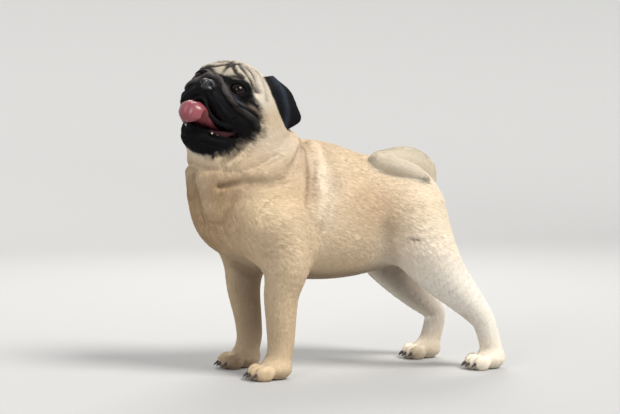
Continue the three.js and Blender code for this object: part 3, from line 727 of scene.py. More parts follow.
def new_mesh(name, points, faces):
    mesh = bpy.data.meshes.new(name)
    faces = np.asarray(faces)
    mesh.vertices.add(len(points))
    mesh.vertices.foreach_set("co", metres(points).astype(np.float32).ravel())
    mesh.loops.add(faces.size)
    mesh.loops.foreach_set("vertex_index", faces.astype(np.int32).ravel())
    mesh.polygons.add(len(faces))
    mesh.polygons.foreach_set("loop_start", np.arange(0, faces.size, faces.shape[1], dtype=np.int32))
    mesh.polygons.foreach_set("use_smooth", np.ones(len(faces), bool))
    mesh.update(calc_edges=True)
    mesh.validate()
    made = bpy.data.objects.new(name, mesh)
    scene.collection.objects.link(made)
    return made


def alone(piece):
    """Selects one piece and makes it the active one."""
    bpy.ops.object.select_all(action="DESELECT")
    piece.select_set(True)
    bpy.context.view_layer.objects.active = piece


def thinned_below(piece, points, height, ratio):
    """Merges the smallest edges of what lies below a height and leaves the rest as it is."""
    group = piece.vertex_groups.new(name="thinned")
    group.add(np.nonzero(points[:, 2] < height)[0].tolist(), 1, "REPLACE")
    alone(piece)
    bpy.ops.object.modifier_add(type="DECIMATE")
    modifier = piece.modifiers[-1]
    modifier.ratio = ratio
    modifier.vertex_group = "thinned"
    bpy.ops.object.modifier_apply(modifier=modifier.name)
    piece.vertex_groups.clear()


def read_out(collection, key, kind=np.float32):
    """The three numbers that each item of a mesh's collection holds under a key."""
    flat = np.zeros(len(collection) * 3, kind)
    collection.foreach_get(key, flat)
    return flat.reshape(-1, 3)


# The skin is thinned below the head, to keep it under 200,000 triangles
THINNED_BELOW = 280
THINNED_TO = 0.8
skin = new_mesh("skin", skin_points, skin_quads)
thinned_below(skin, skin_points, THINNED_BELOW, THINNED_TO)
skin.data.calc_loop_triangles()
skin_points = design(read_out(skin.data.vertices, "co"))
skin_normals = read_out(skin.data.vertex_normals, "vector").astype(float)
skin_triangles = read_out(skin.data.loop_triangles, "vertices", np.int32)
print("skin", len(skin_triangles), "triangles")

# Markings, painted shade and highlights, and the lie of the coat


def linear(code):
    """A colour written as six hex digits, as linear light."""
    parts = np.array([int(code[n : n + 2], 16) for n in (0, 2, 4)]) / 255
    return np.where(parts < 0.04045, parts / 12.92, ((parts + 0.055) / 1.055) ** 2.4)


CELLS = 32
LATTICE = np.random.default_rng(7).uniform(-1, 1, (CELLS, CELLS, CELLS))


def mottled(points, size, seed):
    """Soft blotches between -1 and 1, about size across, from two layers of smoothed lattice noise."""
    total = np.zeros(len(points))
    for layer, share in ((1.0, 0.65), (2.3, 0.35)):
        place = points / size * layer + seed * 7.3
        cell = np.floor(place).astype(int)
        t = place - cell
        t = t * t * (3 - 2 * t)
        value = np.zeros(len(points))
        for a, b, c in itertools.product((0, 1), repeat=3):
            i, j, k = ((cell + (a, b, c)) % CELLS).T
            weight = np.abs((1 - a) - t[:, 0]) * np.abs((1 - b) - t[:, 1]) * np.abs((1 - c) - t[:, 2])
            value += LATTICE[i, j, k] * weight
        total += share * value
    return np.clip(total * 1.8, -1, 1)


def spot(points, centre, reach):
    """1 at the centre, fading to nothing past its reach along x, y and z."""
    offset = (points - np.array(centre, float)) / np.array(reach, float)
    return np.exp(-(offset**2).sum(1))


def tinted(base, colour, share):
    """The base colour brought towards another by a share."""
    return base + (linear(colour) - base) * np.clip(share, 0, 1)[:, None]


# Where the mask ends on the cheek: y at each z of the head's frame
MASK_EDGE_Z = [-96, -90, -86, -80, -72, -61, -44, -32, -18, -8, 2, 16, 24, 40]
MASK_EDGE_Y = [-110, -62, -41, -37, -33, -28, -19, -14, -17, -22, -32, -44, -60, -90]
# Lines of the head that take a paler tone: the cheek's fold, and painted highlights along the ear's fold and
# on the flew
CHEEK_PALE = [(44, -45, -6), (50, -36, -7.5), (57, -28, -10), (62, -19, -17)]
EAR_RIDGE = [(41, 3, 42), (57, 11, 30), (67, 19, 12), (69, 27, -1), (67, 31, -12)]
FLEW = [(15, -72, -10), (24, -70, -18), (33, -62, -24), (38, -53, -28)]


def face_share(points):
    """1 on the head, 0 on the body."""
    q = to_head(points)
    head = blended(q, np.full(len(q), FAR), SKULL + MUZZLE + JAW)
    body = blended(points, np.full(len(points), FAR - 20), NECK)
    return smooth_step(-8, 8, body - head)


def body_tints(points, body):
    """Tones of trunk, legs and tail, painted shade and highlights among them, with their shares, in the order
    in which they are laid on.
    """
    x, y, z = points.T
    side = mirrored(points)
    broad = mottled(points, 44, 2)
    back = smooth_step(20, 110, y)
    yield "eadbc2", smooth_step(30, 150, y) * 0.8 * body
    yield "c49f76", (0.16 + 0.07 * broad) * smooth_step(80, -40, y) * body
    # Painted shade: darker over the front of the chest, below the neck
    yield "9b7850", 0.62 * smooth_step(-98, -178, y) * smooth_step(276, 240, z) * body
    for flank in (1, -1):
        saddle = spot(points, (flank * 80, 44, 214), (60, 36, 36))
        yield "b08a66", 0.42 * saddle * (1 + 0.25 * broad)
        # Painted highlight along the ridge over each shoulder, and painted shade in the crease in front of it
        yield "efe4d1", 0.42 * spot(points, (flank * 66, -26, 246), (30, 17, 54))
        yield "8a6a50", 0.55 * spot(points, (flank * 66, -47, 262), (26, 9, 34))
    # Painted highlight: a paler patch on each side of the chest, in front of the shoulders
    yield "e8d3ad", 0.55 * spot(side, (72, -108, 226), (34, 24, 32))
    yield "9a7d62", 0.4 * spot(points, (0, 0, 300), (24, 120, 26))
    # Paler down the hind legs: partly a paler coat, partly painted light
    yield "faf4ea", 0.8 * smooth_step(220, 100, z) * back
    # Painted shade: darker low on the front half, down the forelegs
    yield "ccb595", 0.7 * smooth_step(150, 50, z) * smooth_step(60, -40, y)
    # Darker on the belly and the inner sides of the legs: partly a darker undercoat, partly painted shade
    yield "7b6753", 0.72 * smooth_step(168, 132, z) * smooth_step(56, 30, np.abs(x))
    tail = np.clip(1 - limb(points, TAIL_PATH) / 4, 0, 1)
    yield "eadfca", tail * 0.92
    yield "b89a76", tail * (0.1 + 0.14 * mottled(points, 14, 5)) * smooth_step(276, 250, z)
    yield "dfcaa6", 0.35 * smooth_step(60, 20, z) * back
    # Shade in the curl of the tail, and the small dark mark on the thigh
    yield "54463c", 0.8 * spot(points, (58, 112, 251), (12, 9, 5))
    yield "4a4038", 0.8 * spot(points, (90, 90, 177), (8, 9, 2.0))
    # Painted shade in the creases of the skin, and painted highlight along its ridges
    pressed = folded(points, TRUNK_FOLDS)
    yield "6e5039", 0.12 * np.maximum(pressed, 0) * body
    yield "efe2cb", 0.1 * np.maximum(-pressed, 0) * body
    yield "cfc5b6", 0.5 * spot(side, (62, -88, 304), (40, 40, 30))


def head_tints(points, head):
    """Tones of brow, mask and ears, painted shade in the folds and painted highlights on the black among
    them, with their shares, in the order in which they are laid on.
    """
    side = folded_head(points)
    fine = mottled(points, 8, 1)
    yield "dacfbe", (0.2 + 0.7 * smooth_step(34, -16, side[:, 1])) * head
    crown = spot(side, (0, -38, 32), (34, 26, 26)) * head
    yield "998b76", crown * 0.55 * (1 + 0.2 * fine)
    # Painted shade: darker down in the folds of the face, most on the brow
    folds = folded(side, FACE_FOLDS)
    front = 0.36 + 0.24 * spot(side, (0, -44, 30), (40, 22, 20))
    yield "231d1c", np.clip(front * folds, 0, 0.94) * head
    edge = np.interp(side[:, 2], MASK_EDGE_Z, MASK_EDGE_Y)
    mask = smooth_step(8, -6, side[:, 1] - edge + 4 * fine)
    eye = np.linalg.norm(side - EYE_AT, axis=1)
    patch = smooth_step(22.5, 16.5, eye + 1.5 * fine + 0.4 * np.maximum(side[:, 2] - 14, 0))
    patch = np.maximum(patch, 0.95 * spot(side, (25, -50, 16), (15, 12, 9))) * head
    yield "08080b", np.maximum(mask, patch) * 0.995
    # Painted highlights: greyer where the roll, the jowl and the lids stand out of the mask, the roll most on
    # its top and the roll and lids less down in the folds; a paler tone along the cheek's fold
    shade = np.clip(1 - 0.5 * np.maximum(folds, 0), 0, 1)
    roll = np.clip(1 - np.maximum(limb(side, NOSE_PATH), 0) / 2.4, 0, 1) * shade
    top = smooth_step(-30, 8, side[:, 2])
    yield "57524f", roll * (0.42 + 0.4 * top) * (1 + 0.25 * fine)
    pale = folded(side, [(CHEEK_PALE, 1.0, 2.6)]) * smooth_step(40, 46, side[:, 0])
    yield "a99682", 0.75 * pale * (1 + 0.2 * fine)
    rim = np.abs(limb(side, [(*p, 5.0) for p in JOWL]))
    yield "6b6560", 0.5 * np.exp(-((rim / 1.5) ** 2)) * mask * (0.6 + 0.4 * fine)
    # Painted sheen: a blue-grey line along each flew
    yield "34353e", 0.5 * folded(side, [(FLEW, 1.0, 2.0)])
    lids = spot(side, (34, -55, -4.5), (9, 9, 2.2)) + spot(side, (39, -48, -7.5), (6, 6, 1.8))
    yield "5b5f6b", 0.55 * lids * shade
    ear = smooth_step(3.4, 0.8, ear_distance(points))
    yield "0c0d12", ear * 0.99
    # Painted highlight: a blue-grey strip along each ear's fold
    yield "3b434f", 0.75 * folded(side, [(EAR_RIDGE, 1.0, 4.0)]) * ear


def markings_and_painted_light(points):
    """Base colour of the coat at each point, with painted shade and highlights, as linear light."""
    head = face_share(points)
    colour = np.tile(linear("d9c4a5"), (len(points), 1))
    for code, share in itertools.chain(body_tints(points, 1 - head), head_tints(points, head)):
        colour = tinted(colour, code, share)
    return colour


def mouth_share(points):
    """1 inside the mouth and 0 on the coat: near the mouth's hollow and inside the shut head."""
    outside = smooth_step(0.5, 3, closed_head(to_head(points))) * 9
    return smooth_step(2.4, 0.4, np.abs(mouth_distance(points)) + outside)


def along_path(points, stations):
    """Direction of the nearest piece of a path."""
    best = np.full(len(points), 1e9)
    way = np.zeros((len(points), 3))
    for a, b in zip(stations, stations[1:]):
        distance, _ = along_segment(points, a[:3], b[:3])
        nearer = distance < best
        best[nearer] = distance[nearer]
        way[nearer] = np.array(b[:3]) - np.array(a[:3])
    return way / np.linalg.norm(way, axis=1)[:, None]


# The hair of the head points away from this place before the nose, in the head's frame
HAIR_FROM = np.array([0, -104, -2])


def coat_lie(points, normals):
    """The way the hair points, along the skin."""
    x, y, z = points.T
    out = (to_head(points) - HAIR_FROM) * (1, 1, 0.8)
    out /= np.linalg.norm(out, axis=1)[:, None]
    lie = np.tile([0.0, 1.0, -0.42], (len(points), 1))
    # Chest, legs, feet, tail, head and ears
    for share, way in (
        (smooth_step(-110, -160, y), (0, 0.1, -1)),
        (smooth_step(175, 120, z), (0, 0.15, -1)),
        (smooth_step(30, 12, z), (0, -0.9, -0.4)),
        (np.clip(1 - limb(points, TAIL_PATH) / 5, 0, 1), along_path(points, TAIL_PATH)),
        (face_share(points), out @ HEAD_TURN.T),
        (smooth_step(3.5, 1, ear_distance(points)), (0.35, 0.35, -0.9) @ HEAD_TURN.T),
    ):
        lie = lie * (1 - share[:, None]) + np.array(way) * share[:, None]
    lie = lie - normals * (lie * normals).sum(1)[:, None]
    return lie / np.maximum(np.linalg.norm(lie, axis=1), 1e-6)[:, None]


def paint(piece, name, values, kind="FLOAT_COLOR", key="color"):
    layer = piece.data.attributes.new(name, kind, "POINT")
    layer.data.foreach_set(key, np.ascontiguousarray(values, np.float32).ravel())


def paint_coat(piece, colour, lie):
    paint(piece, "coat_colour", np.c_[colour, np.ones(len(colour))])
    paint(piece, "coat_lie", lie, "FLOAT_VECTOR", "vector")


skin_side = folded_head(skin_points)
lip = mouth_share(skin_points)
# The mouth is darker towards its back, and a line of gum shows over the lower lip
deeper_in = smooth_step(-60, -44, skin_side[:, 1])[:, None] * 0.4
mouth_colour = linear("3a191c") * (1 - deeper_in) + linear("1e0c0e") * deeper_in
gum = np.clip(1 - np.abs(limb(skin_side, LOWER_PATH)) / 1.6, 0, 1) * smooth_step(14, 20, skin_side[:, 0])
gum *= smooth_step(-57, -53, skin_side[:, 2]) * smooth_step(44, 34, skin_side[:, 0])
skin_colour = markings_and_painted_light(skin_points) * (1 - lip[:, None]) + mouth_colour * lip[:, None]
skin_colour = tinted(skin_colour, "7d4b50", 0.7 * gum * (0.7 + 0.3 * mottled(skin_points, 3, 4)))
wet = np.maximum(lip, gum)
skin_lie = coat_lie(skin_points, skin_normals)
paint_coat(skin, skin_colour, skin_lie)
paint(skin, "wet", wet, "FLOAT", "value")

# Tufts


def region_of(points):
    """The coat piece each point belongs to."""
    q = to_head(points)
    region = np.full(len(points), "torso", dtype=object)
    x, y, z = points.T
    region[(z > 232) & (y < -36)] = "neck"
    for name, leg in LEGS.items():
        close = limb(points, LEG_PATHS[name]) < 3
        below = z < (140 if name.startswith("fore") else 158)
        region[close & below] = name
    region[limb(points, TAIL_PATH) < 1.6] = "tail"
    on_head = face_share(points) > 0.5
    region[on_head] = "head"
    region[on_head & (q[:, 1] < -26)] = "face"
    region[ear_distance(points) < 2.2] = "ears"
    return region


# Tufts per square millimetre, their length and width, and the height of their tips
TUFTS = {
    "torso": (0.72, 7.5, 0.8, 0.9),
    "neck": (0.9, 7.0, 0.75, 0.9),
    "tail": (1.4, 9.5, 0.75, 1.9),
    "head": (1.3, 4.2, 0.55, 0.45),
    "face": (1.7, 2.4, 0.42, 0.32),
    "ears": (1.2, 3.0, 0.5, 0.3),
    "foreleg_left": (1.0, 5.0, 0.65, 0.6),
    "foreleg_right": (1.0, 5.0, 0.65, 0.6),
    "hindleg_left": (1.0, 5.4, 0.65, 0.6),
    "hindleg_right": (1.0, 5.4, 0.65, 0.6),
}


def unwrapped(name, points, normals):
    """Each point's place on a rolled-out map of the skin of its region, 0 to 1 each way."""
    if name in ("head", "face"):
        q = to_head(points) - np.array([0, 0, -12])
        u = np.arctan2(q[:, 0], -q[:, 1])
        v = np.arctan2(q[:, 2], np.hypot(q[:, 0], q[:, 1]))
    elif name == "ears":
        q = to_head(points)
        n = normals @ HEAD_TURN
        tile = (q[:, 0] < 0) * 2 + (n[:, 1] > 0)
        u = tile * 60 + q[:, 1] - q[:, 1].min()
        v = q[:, 2]
    elif name == "tail":
        steps = TAIL_PATH[:, :3]
        nearest = np.linalg.norm(points[:, None] - steps[None], axis=2).argmin(1)
        away = points - steps[nearest]
        u = np.arctan2(away[:, 0], away[:, 2] + 0.4 * away[:, 1])
        v = nearest + (along_path(points, TAIL_PATH) * away).sum(1) / 8
    elif name in LEGS:
        stations = np.array(LEGS[name]["stations"])[::-1]
        centre = [np.interp(points[:, 2], stations[:, 2], stations[:, n]) for n in (0, 1)]
        u = np.arctan2(points[:, 0] - centre[0], points[:, 1] - centre[1])
        v = points[:, 2]
    elif name == "neck":
        u = np.arctan2(points[:, 0] - 4, points[:, 1] + 110)
        v = points[:, 2]
    else:
        u = np.arctan2(points[:, 0], points[:, 2] - 205)
        v = points[:, 1]
    flat = np.stack([u, v], -1)
    flat = (flat - flat.min(0)) / np.maximum(np.ptp(flat, axis=0), 1e-6)
    return 0.004 + 0.992 * flat


# A tuft has four corners: two at its root, its ridge and its tip
TUFT_FACES = np.array([(0, 1, 2), (0, 3, 1), (1, 3, 2), (2, 3, 0)])
# Painted shade at the roots of each tuft and painted light towards its tip, as shares of its colour
TUFT_ROOT_SHADE_TIP_LIGHT = np.array([0.84, 0.84, 0.97, 1.08])
TUFT_TILT = np.array([-0.35, 0.35, 0, 0])
# Side of the square that a tuft takes on the map, and its corners' places in it
PATCH = 0.003
CORNERS = np.array([(-0.5, -0.5), (0.5, -0.5), (0, -0.2), (0, 0.5)]) * PATCH
# Most tufts of a piece, which keeps it under 200,000 triangles
MOST_TUFTS = 49000
# How much tufts vary: the stray of their lie, and the shares of length, width and height
STRAY = 0.11
LENGTHS = (0.7, 1.2)
WIDTHS = (0.75, 1.2)
HEIGHTS = (0.35, 1.3)
# How deep roots sit, and how far they keep from the eyes and the floor
ROOT_DEPTH = 0.2
EYE_CLEAR = 0.9
FLOOR_CLEAR = 1.5


def unit(ways):
    """Vectors along the last axis, made one long."""
    return ways / np.linalg.norm(ways, axis=-1)[..., None]


def raised(points, normals, height):
    """The points moved along the normals to stand at a height over the skin."""
    gap = np.clip(height - flesh(points), -3, 1.5)
    return points + normals * gap[:, None]


def scattered(draw, chosen, density):
    """Places drawn at random over triangles of the skin: a triangle and three weights for each."""
    a, b, c = (skin_points[chosen[:, n]] for n in range(3))
    area = np.linalg.norm(np.cross(b - a, c - a), axis=1) / 2
    count = min(int(area.sum() * density), MOST_TUFTS)
    pick = draw.choice(len(chosen), count, p=area / area.sum())
    a, b = draw.random(count), draw.random(count)
    over = a + b > 1
    a[over], b[over] = 1 - a[over], 1 - b[over]
    return chosen[pick], np.stack([1 - a - b, a, b], -1)


def rooted(used, weights, length):
    """Root, normal and lie of each tuft that grows on dry, open skin, clear of the eyes."""
    root, normal, lie = (
        (held[used] * weights[:, :, None]).sum(1) for held in (skin_points, skin_normals, skin_lie)
    )
    normal = unit(normal)
    eye = np.linalg.norm(folded_head(root) - EYE_AT, axis=1)
    grows = ((wet[used] * weights).sum(1) < 0.3) & (root[:, 2] > FLOOR_CLEAR)
    grows &= eye > EYE_RADIUS + EYE_CLEAR
    grows &= flesh(root + lie * length * 0.8) > -0.13 * length
    return root[grows], normal[grows], lie[grows]


def agreeing(points, facing):
    """Which tufts have faces that look the way their normals do."""
    fair = np.ones(len(points), bool)
    for a, b, c in TUFT_FACES[[0, 2, 3]]:
        out = np.cross(points[:, b] - points[:, a], points[:, c] - points[:, a])
        out /= np.maximum(np.linalg.norm(out, axis=1), 1e-9)[:, None]
        for corner in (a, b, c):
            fair &= (out * facing[:, corner]).sum(1) > 0.12
    return fair


def smaller(name, root):
    """Share of the full size of a region's tufts: less towards the feet and the muzzle."""
    if "leg" in name:
        return 0.4 + 0.6 * smooth_step(16, 60, root[:, 2])
    if name in ("head", "face"):
        return 0.55 + 0.45 * smooth_step(-75, -30, to_head(root)[:, 1])
    return np.ones(len(root))


def coat_piece(name, chosen, seed):
    """The tufts of one region, which grow on the chosen triangles of the skin."""
    draw = np.random.default_rng(seed)
    density, length, width, rise = TUFTS[name]
    root, normal, lie = rooted(*scattered(draw, chosen, density), length)
    count = len(root)
    lie += draw.normal(0, STRAY, (count, 3))
    lie -= normal * (lie * normal).sum(1)[:, None]
    lie = unit(lie)
    small = smaller(name, root)
    long = length * draw.uniform(*LENGTHS, count) * small
    wide = width * draw.uniform(*WIDTHS, count) * np.sqrt(small)
    across = unit(np.cross(lie, normal))
    half = across * wide[:, None] / 2
    ridge = raised(root + lie * 0.4 * long[:, None], normal, 0.2 + 0.3 * wide)
    tip = raised(root + lie * long[:, None], normal, rise * small * draw.uniform(*HEIGHTS, count))
    base = root - normal * ROOT_DEPTH
    points = np.stack([base - half, base + half, ridge, tip], 1)
    plane = np.cross(across, (tip - root) / long[:, None])
    tilt = TUFT_TILT[None, :, None] * across[:, None, :]
    facing = unit((0.4 * normal + 0.6 * plane)[:, None, :] + tilt + draw.normal(0, 0.1, (count, 1, 3)))
    fair = agreeing(points, facing)
    points, facing, lie, root, normal = (held[fair] for held in (points, facing, lie, root, normal))
    count = len(points)
    faces = (TUFT_FACES[None] + 4 * np.arange(count)[:, None, None]).reshape(-1, 3)
    piece = new_mesh("coat_" + name, np.clip(points, BOX_LOW, BOX_HIGH).reshape(-1, 3), faces)
    # The face underneath looks the other way, so it takes the first face's normals turned round
    shown = facing[:, TUFT_FACES]
    shown[:, 1] = -shown[:, 0]
    piece.data.normals_split_custom_set(shown.reshape(-1, 3))
    varied = draw.normal(1, 0.05, (count, 1, 1))
    colour = np.clip(markings_and_painted_light(root)[:, None, :] * TUFT_ROOT_SHADE_TIP_LIGHT[None, :, None] * varied, 0, 1)
    paint_coat(piece, colour.reshape(-1, 3), np.repeat(lie, 4, 0))
    corners = (unwrapped(name, root, normal)[:, None, :] + CORNERS[None]).reshape(-1, 2)
    layer = piece.data.uv_layers.new(name="OFBake")
    layer.data.foreach_set("uv", np.clip(corners[faces.ravel()], 0, 1).astype(np.float32).ravel())
    return piece


region = region_of(skin_points[skin_triangles].mean(1))
coat_pieces = [
    coat_piece(name, skin_triangles[region == name], 20 + n) for n, name in enumerate(TUFTS)
]
print("tufts", sum(len(piece.data.vertices) // 4 for piece in coat_pieces))

# Material makers


def feed(tree, target, inputs):
    """Links the inputs that are given as another node's socket, and sets the others."""
    for key, value in inputs.items():
        if isinstance(value, bpy.types.NodeSocket):
            tree.links.new(value, target.inputs[key])
        else:
            target.inputs[key].default_value = value


def node(tree, kind, inputs=None, **settings):
    made = tree.nodes.new("ShaderNode" + kind)
    for key, value in settings.items():
        setattr(made, key, value)
    feed(tree, made, inputs or {})
    return made


def maths(tree, operation, *values):
    return node(tree, "Math", dict(enumerate(values)), operation=operation).outputs[0]


def attribute(tree, name, output="Fac"):
    return node(tree, "Attribute", attribute_name=name).outputs[output]


def object_place(tree):
    return node(tree, "TexCoord").outputs["Object"]


def mixed(tree, share, low, high):
    """A colour between two, by a share from 0 to 1."""
    return node(tree, "Mix", {"Factor": share, "A": low, "B": high}, data_type="RGBA").outputs["Result"]


def bumped(tree, height, shader, strength, distance, invert=False):
    bump = node(
        tree, "Bump", {"Strength": strength, "Distance": distance, "Height": height}, invert=invert
    )
    feed(tree, shader, {"Normal": bump.outputs["Normal"]})


def rgba(code):
    return (*linear(code), 1)


def new_material(name, **values):
    """A material with the Principled BSDF's values, whose names are written with _ for a space."""
    material = bpy.data.materials.new(name)
    material.use_nodes = True
    tree = material.node_tree
    shader = tree.nodes["Principled BSDF"]
    feed(tree, shader, {key.replace("_", " "): value for key, value in values.items()})
    return material, tree, shader


def fur_grain_group():
    """Fine streaks along the hair, from three noises drawn out along X, Y and Z."""
    tree = bpy.data.node_groups.new("Fur grain", "ShaderNodeTree")
    for title, kind, value in (
        ("Colour", "Color", (0.6, 0.45, 0.3, 1)),
        ("Lie", "Vector", (0, 0, 0)),
        ("Scale", "Float", 700.0),
        ("Contrast", "Float", 0.3),
    ):
        socket = tree.interface.new_socket(name=title, in_out="INPUT", socket_type="NodeSocket" + kind)
        socket.default_value = value
    for title, kind in (("Colour", "Color"), ("Height", "Float")):
        tree.interface.new_socket(name=title, in_out="OUTPUT", socket_type="NodeSocket" + kind)
    given = tree.nodes.new("NodeGroupInput").outputs
    result = tree.nodes.new("NodeGroupOutput")
    place = object_place(tree)
    lie = given["Lie"]
    squared = node(tree, "VectorMath", {0: lie, 1: lie}, operation="MULTIPLY").outputs[0]
    shares = node(tree, "SeparateXYZ", {0: squared}).outputs
    parts = []
    for n, axis in enumerate("XYZ"):
        scale = [0.16 if m == n else 1 for m in range(3)]
        drawn = node(tree, "Mapping", {"Scale": scale, "Vector": place}).outputs["Vector"]
        noise = node(
            tree, "TexNoise", {"Vector": drawn, "Scale": given["Scale"], "Detail": 3, "Roughness": 0.6}
        )
        parts.append(maths(tree, "MULTIPLY", noise.outputs["Fac"], shares[axis]))
    total = maths(tree, "ADD", maths(tree, "ADD", parts[0], parts[1]), parts[2])
    centred = maths(tree, "SUBTRACT", total, 0.5)
    strength = maths(tree, "MULTIPLY", given["Contrast"], 4)
    factor = maths(tree, "MULTIPLY_ADD", centred, strength, 1)
    shaded = node(tree, "VectorMath", {0: given["Colour"], "Scale": factor}, operation="SCALE")
    feed(tree, result, {"Colour": shaded.outputs[0], "Height": total})
    return tree


FUR_GRAIN = fur_grain_group()
FUR_ROUGH = 0.55
WET_ROUGH = 0.25


def fur_material(name, scale, contrast, strength, with_wet):
    material, tree, shader = new_material(name, Roughness=FUR_ROUGH, Specular_IOR_Level=0.07)
    grain = node(
        tree,
        "Group",
        {
            "Scale": scale,
            "Contrast": contrast,
            "Colour": attribute(tree, "coat_colour", "Color"),
            "Lie": attribute(tree, "coat_lie", "Vector"),
        },
        node_tree=FUR_GRAIN,
    )
    feed(tree, shader, {"Base Color": grain.outputs["Colour"]})
    bumped(tree, grain.outputs["Height"], shader, strength, 0.0006)
    if with_wet:
        share = attribute(tree, "wet")
        rough = node(tree, "MapRange", {"To Min": FUR_ROUGH, "To Max": WET_ROUGH, "Value": share})
        feed(tree, shader, {"Roughness": rough.outputs["Result"]})
    return material


skin_material = fur_material("Pug skin under fur", 620, 0.2, 0.7, True)
tuft_material = fur_material("Pug hair", 900, 0.12, 0.25, False)

FLESH = [
    "head", "lower_jaw", "ear_left", "ear_right", "neck", "torso", "tail",
    "foreleg_left", "foreleg_right", "hindleg_left", "hindleg_right",
]


def finished(piece, material, slot, *nodes):
    piece.data.materials.clear()
    piece.data.materials.append(material)
    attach(piece, "root")
    if nodes:
        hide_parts(*nodes)


finished(skin, skin_material, "fur", *FLESH)
for piece in coat_pieces:
    finished(piece, tuft_material, "fur")

# Small hard and wet parts


def active_piece(name):
    piece = bpy.context.active_object
    piece.name = name
    piece.data.name = name
    return piece


def coordinates(piece):
    return read_out(piece.data.vertices, "co").astype(float)


def place(piece, points):
    """Sets a piece's points, given in millimetres in this script's frame."""
    piece.matrix_world = Matrix.Identity(4)
    piece.data.vertices.foreach_set("co", metres(points).astype(np.float32).ravel())
    piece.data.update()


def in_head(local, centre, axes):
    """Points given along three axes from a centre, both in the head's frame."""
    return from_head(np.array(centre) + local @ np.array(axes))


def primitive(make, name, **sizes):
    """A new smooth primitive with its points, as they are before it is shaped."""
    bpy.ops.object.select_all(action="DESELECT")
    make(**sizes)
    piece = active_piece(name)
    bpy.ops.object.shade_smooth()
    return piece, coordinates(piece)


def faced_outwards(piece):
    alone(piece)
    bpy.ops.object.mode_set(mode="EDIT")
    bpy.ops.mesh.select_all(action="SELECT")
    bpy.ops.mesh.normals_make_consistent(inside=False)
    bpy.ops.object.mode_set(mode="OBJECT")


# How far the cornea stands out, and the angle from the look over which it does
CORNEA = 0.045
CORNEA_ANGLE = 0.55


def eye(name, side):
    sphere = bpy.ops.mesh.primitive_uv_sphere_add
    piece, local = primitive(sphere, name, segments=64, ring_count=40, radius=1)
    across, along, up = gaze_frame(side)
    angle = np.arccos(np.clip(local[:, 2], -1, 1))
    bulge = 1 + CORNEA * np.exp(-((angle / CORNEA_ANGLE) ** 2))
    local = local * bulge[:, None] * (EYE_RADIUS - 0.35)
    place(piece, in_head(local, EYE_AT * (side, 1, 1), [across, up, along]))
    if np.linalg.det([across, up, along]) < 0:
        piece.data.flip_normals()
    paint(piece, "eye_angle", angle, "FLOAT", "value")
    return piece


# Colours from the middle of the pupil outwards
EYE_RINGS = [
    (0.0, (0.002, 0.002, 0.003, 1)),
    (0.21, (0.002, 0.002, 0.003, 1)),
    (0.26, (0.006, 0.003, 0.002, 1)),
    (0.42, (0.014, 0.006, 0.003, 1)),
    (0.52, (0.006, 0.004, 0.004, 1)),
    (0.66, (0.012, 0.009, 0.009, 1)),
    (0.76, (0.12, 0.09, 0.08, 1)),
    (1.0, (0.2, 0.15, 0.13, 1)),
]


def eye_material():
    material, tree, shader = new_material(
        "Dark wet eye", Roughness=0.08, Specular_IOR_Level=0.16, Coat_Weight=0.15, Coat_Roughness=0.02
    )
    wave = node(tree, "TexNoise", {"Scale": 900, "Vector": object_place(tree)}).outputs["Fac"]
    spread = maths(tree, "MULTIPLY_ADD", wave, 0.06, attribute(tree, "eye_angle"))
    ring = node(tree, "ValToRGB", {"Fac": maths(tree, "MULTIPLY", spread, 0.62)})
    elements = ring.color_ramp.elements
    elements[0].color = EYE_RINGS[0][1]
    elements[1].color = EYE_RINGS[-1][1]
    for position, colour in EYE_RINGS[1:-1]:
        elements.new(position).color = colour
    feed(tree, shader, {"Base Color": ring.outputs["Color"]})
    return material


eye_finish = eye_material()
for name, side in (("eye_left", 1), ("eye_right", -1)):
    finished(eye(name + "_ball", side), eye_finish, "eye", name)

NOSE_AT = np.array([0, -67, -2])
NOSE_WIDE, NOSE_DEEP, NOSE_HIGH = 12.3, 8.8, 8.3


def nose():
    sphere = bpy.ops.mesh.primitive_uv_sphere_add
    piece, ball = primitive(sphere, "nose_leather", segments=96, ring_count=64, radius=1)
    x, z = ball[:, 0] * NOSE_WIDE, ball[:, 1] * NOSE_HIGH
    y = -ball[:, 2] * NOSE_DEEP
    front = smooth_step(0, -0.5, -ball[:, 2])
    side = np.abs(x)
    groove = 1.3 * np.exp(-((side / 1.0) ** 2)) * front
    slit = np.exp(-(((side - 6.2 - 0.25 * (z + 1)) / 2.2) ** 2) - ((z - 0.2) / 2.5) ** 2)
    comma = np.exp(-(((side - 9.2) / 2.4) ** 2) - ((z + 2.2 - 0.2 * (side - 9)) / 1.15) ** 2)
    wing = 1.1 * np.exp(-(((side - 8.4) / 2.8) ** 2) - ((z - 3.4) / 2.4) ** 2)
    y = y + (groove + 4.6 * slit + 2.4 * comma - wing) * front
    z = z + 0.7 * np.exp(-((side - 6) / 4.0) ** 2) * (z > 0)
    place(piece, from_head(np.stack([x, y, z], -1) + NOSE_AT))
    faced_outwards(piece)
    return piece


def nose_material():
    material, tree, shader = new_material(
        "Nose leather", Roughness=0.38, Specular_IOR_Level=0.5, Coat_Weight=0.25, Coat_Roughness=0.3
    )
    cells = node(tree, "TexVoronoi", {"Scale": 950, "Vector": object_place(tree)}).outputs["Distance"]
    tone = mixed(tree, cells, (0.022, 0.02, 0.024, 1), (0.006, 0.005, 0.007, 1))
    feed(tree, shader, {"Base Color": tone})
    bumped(tree, cells, shader, 0.55, 0.0005, invert=True)
    return material


finished(nose(), nose_material(), "nose", "nose")

# The tongue: its middle line in the head's frame, and the half width and thickness of its slice
TONGUE_PATH = [
    (0, -22, -50), (0, -46, -45), (0, -65, -36), (0, -78, -31), (0, -87.2, -35), (0, -89.2, -46),
    (0, -86.2, -55),
]
TONGUE_WIDE = 16.6
TONGUE_THICK = 4.9
TONGUE_RINGS, TONGUE_SIDES = 60, 40


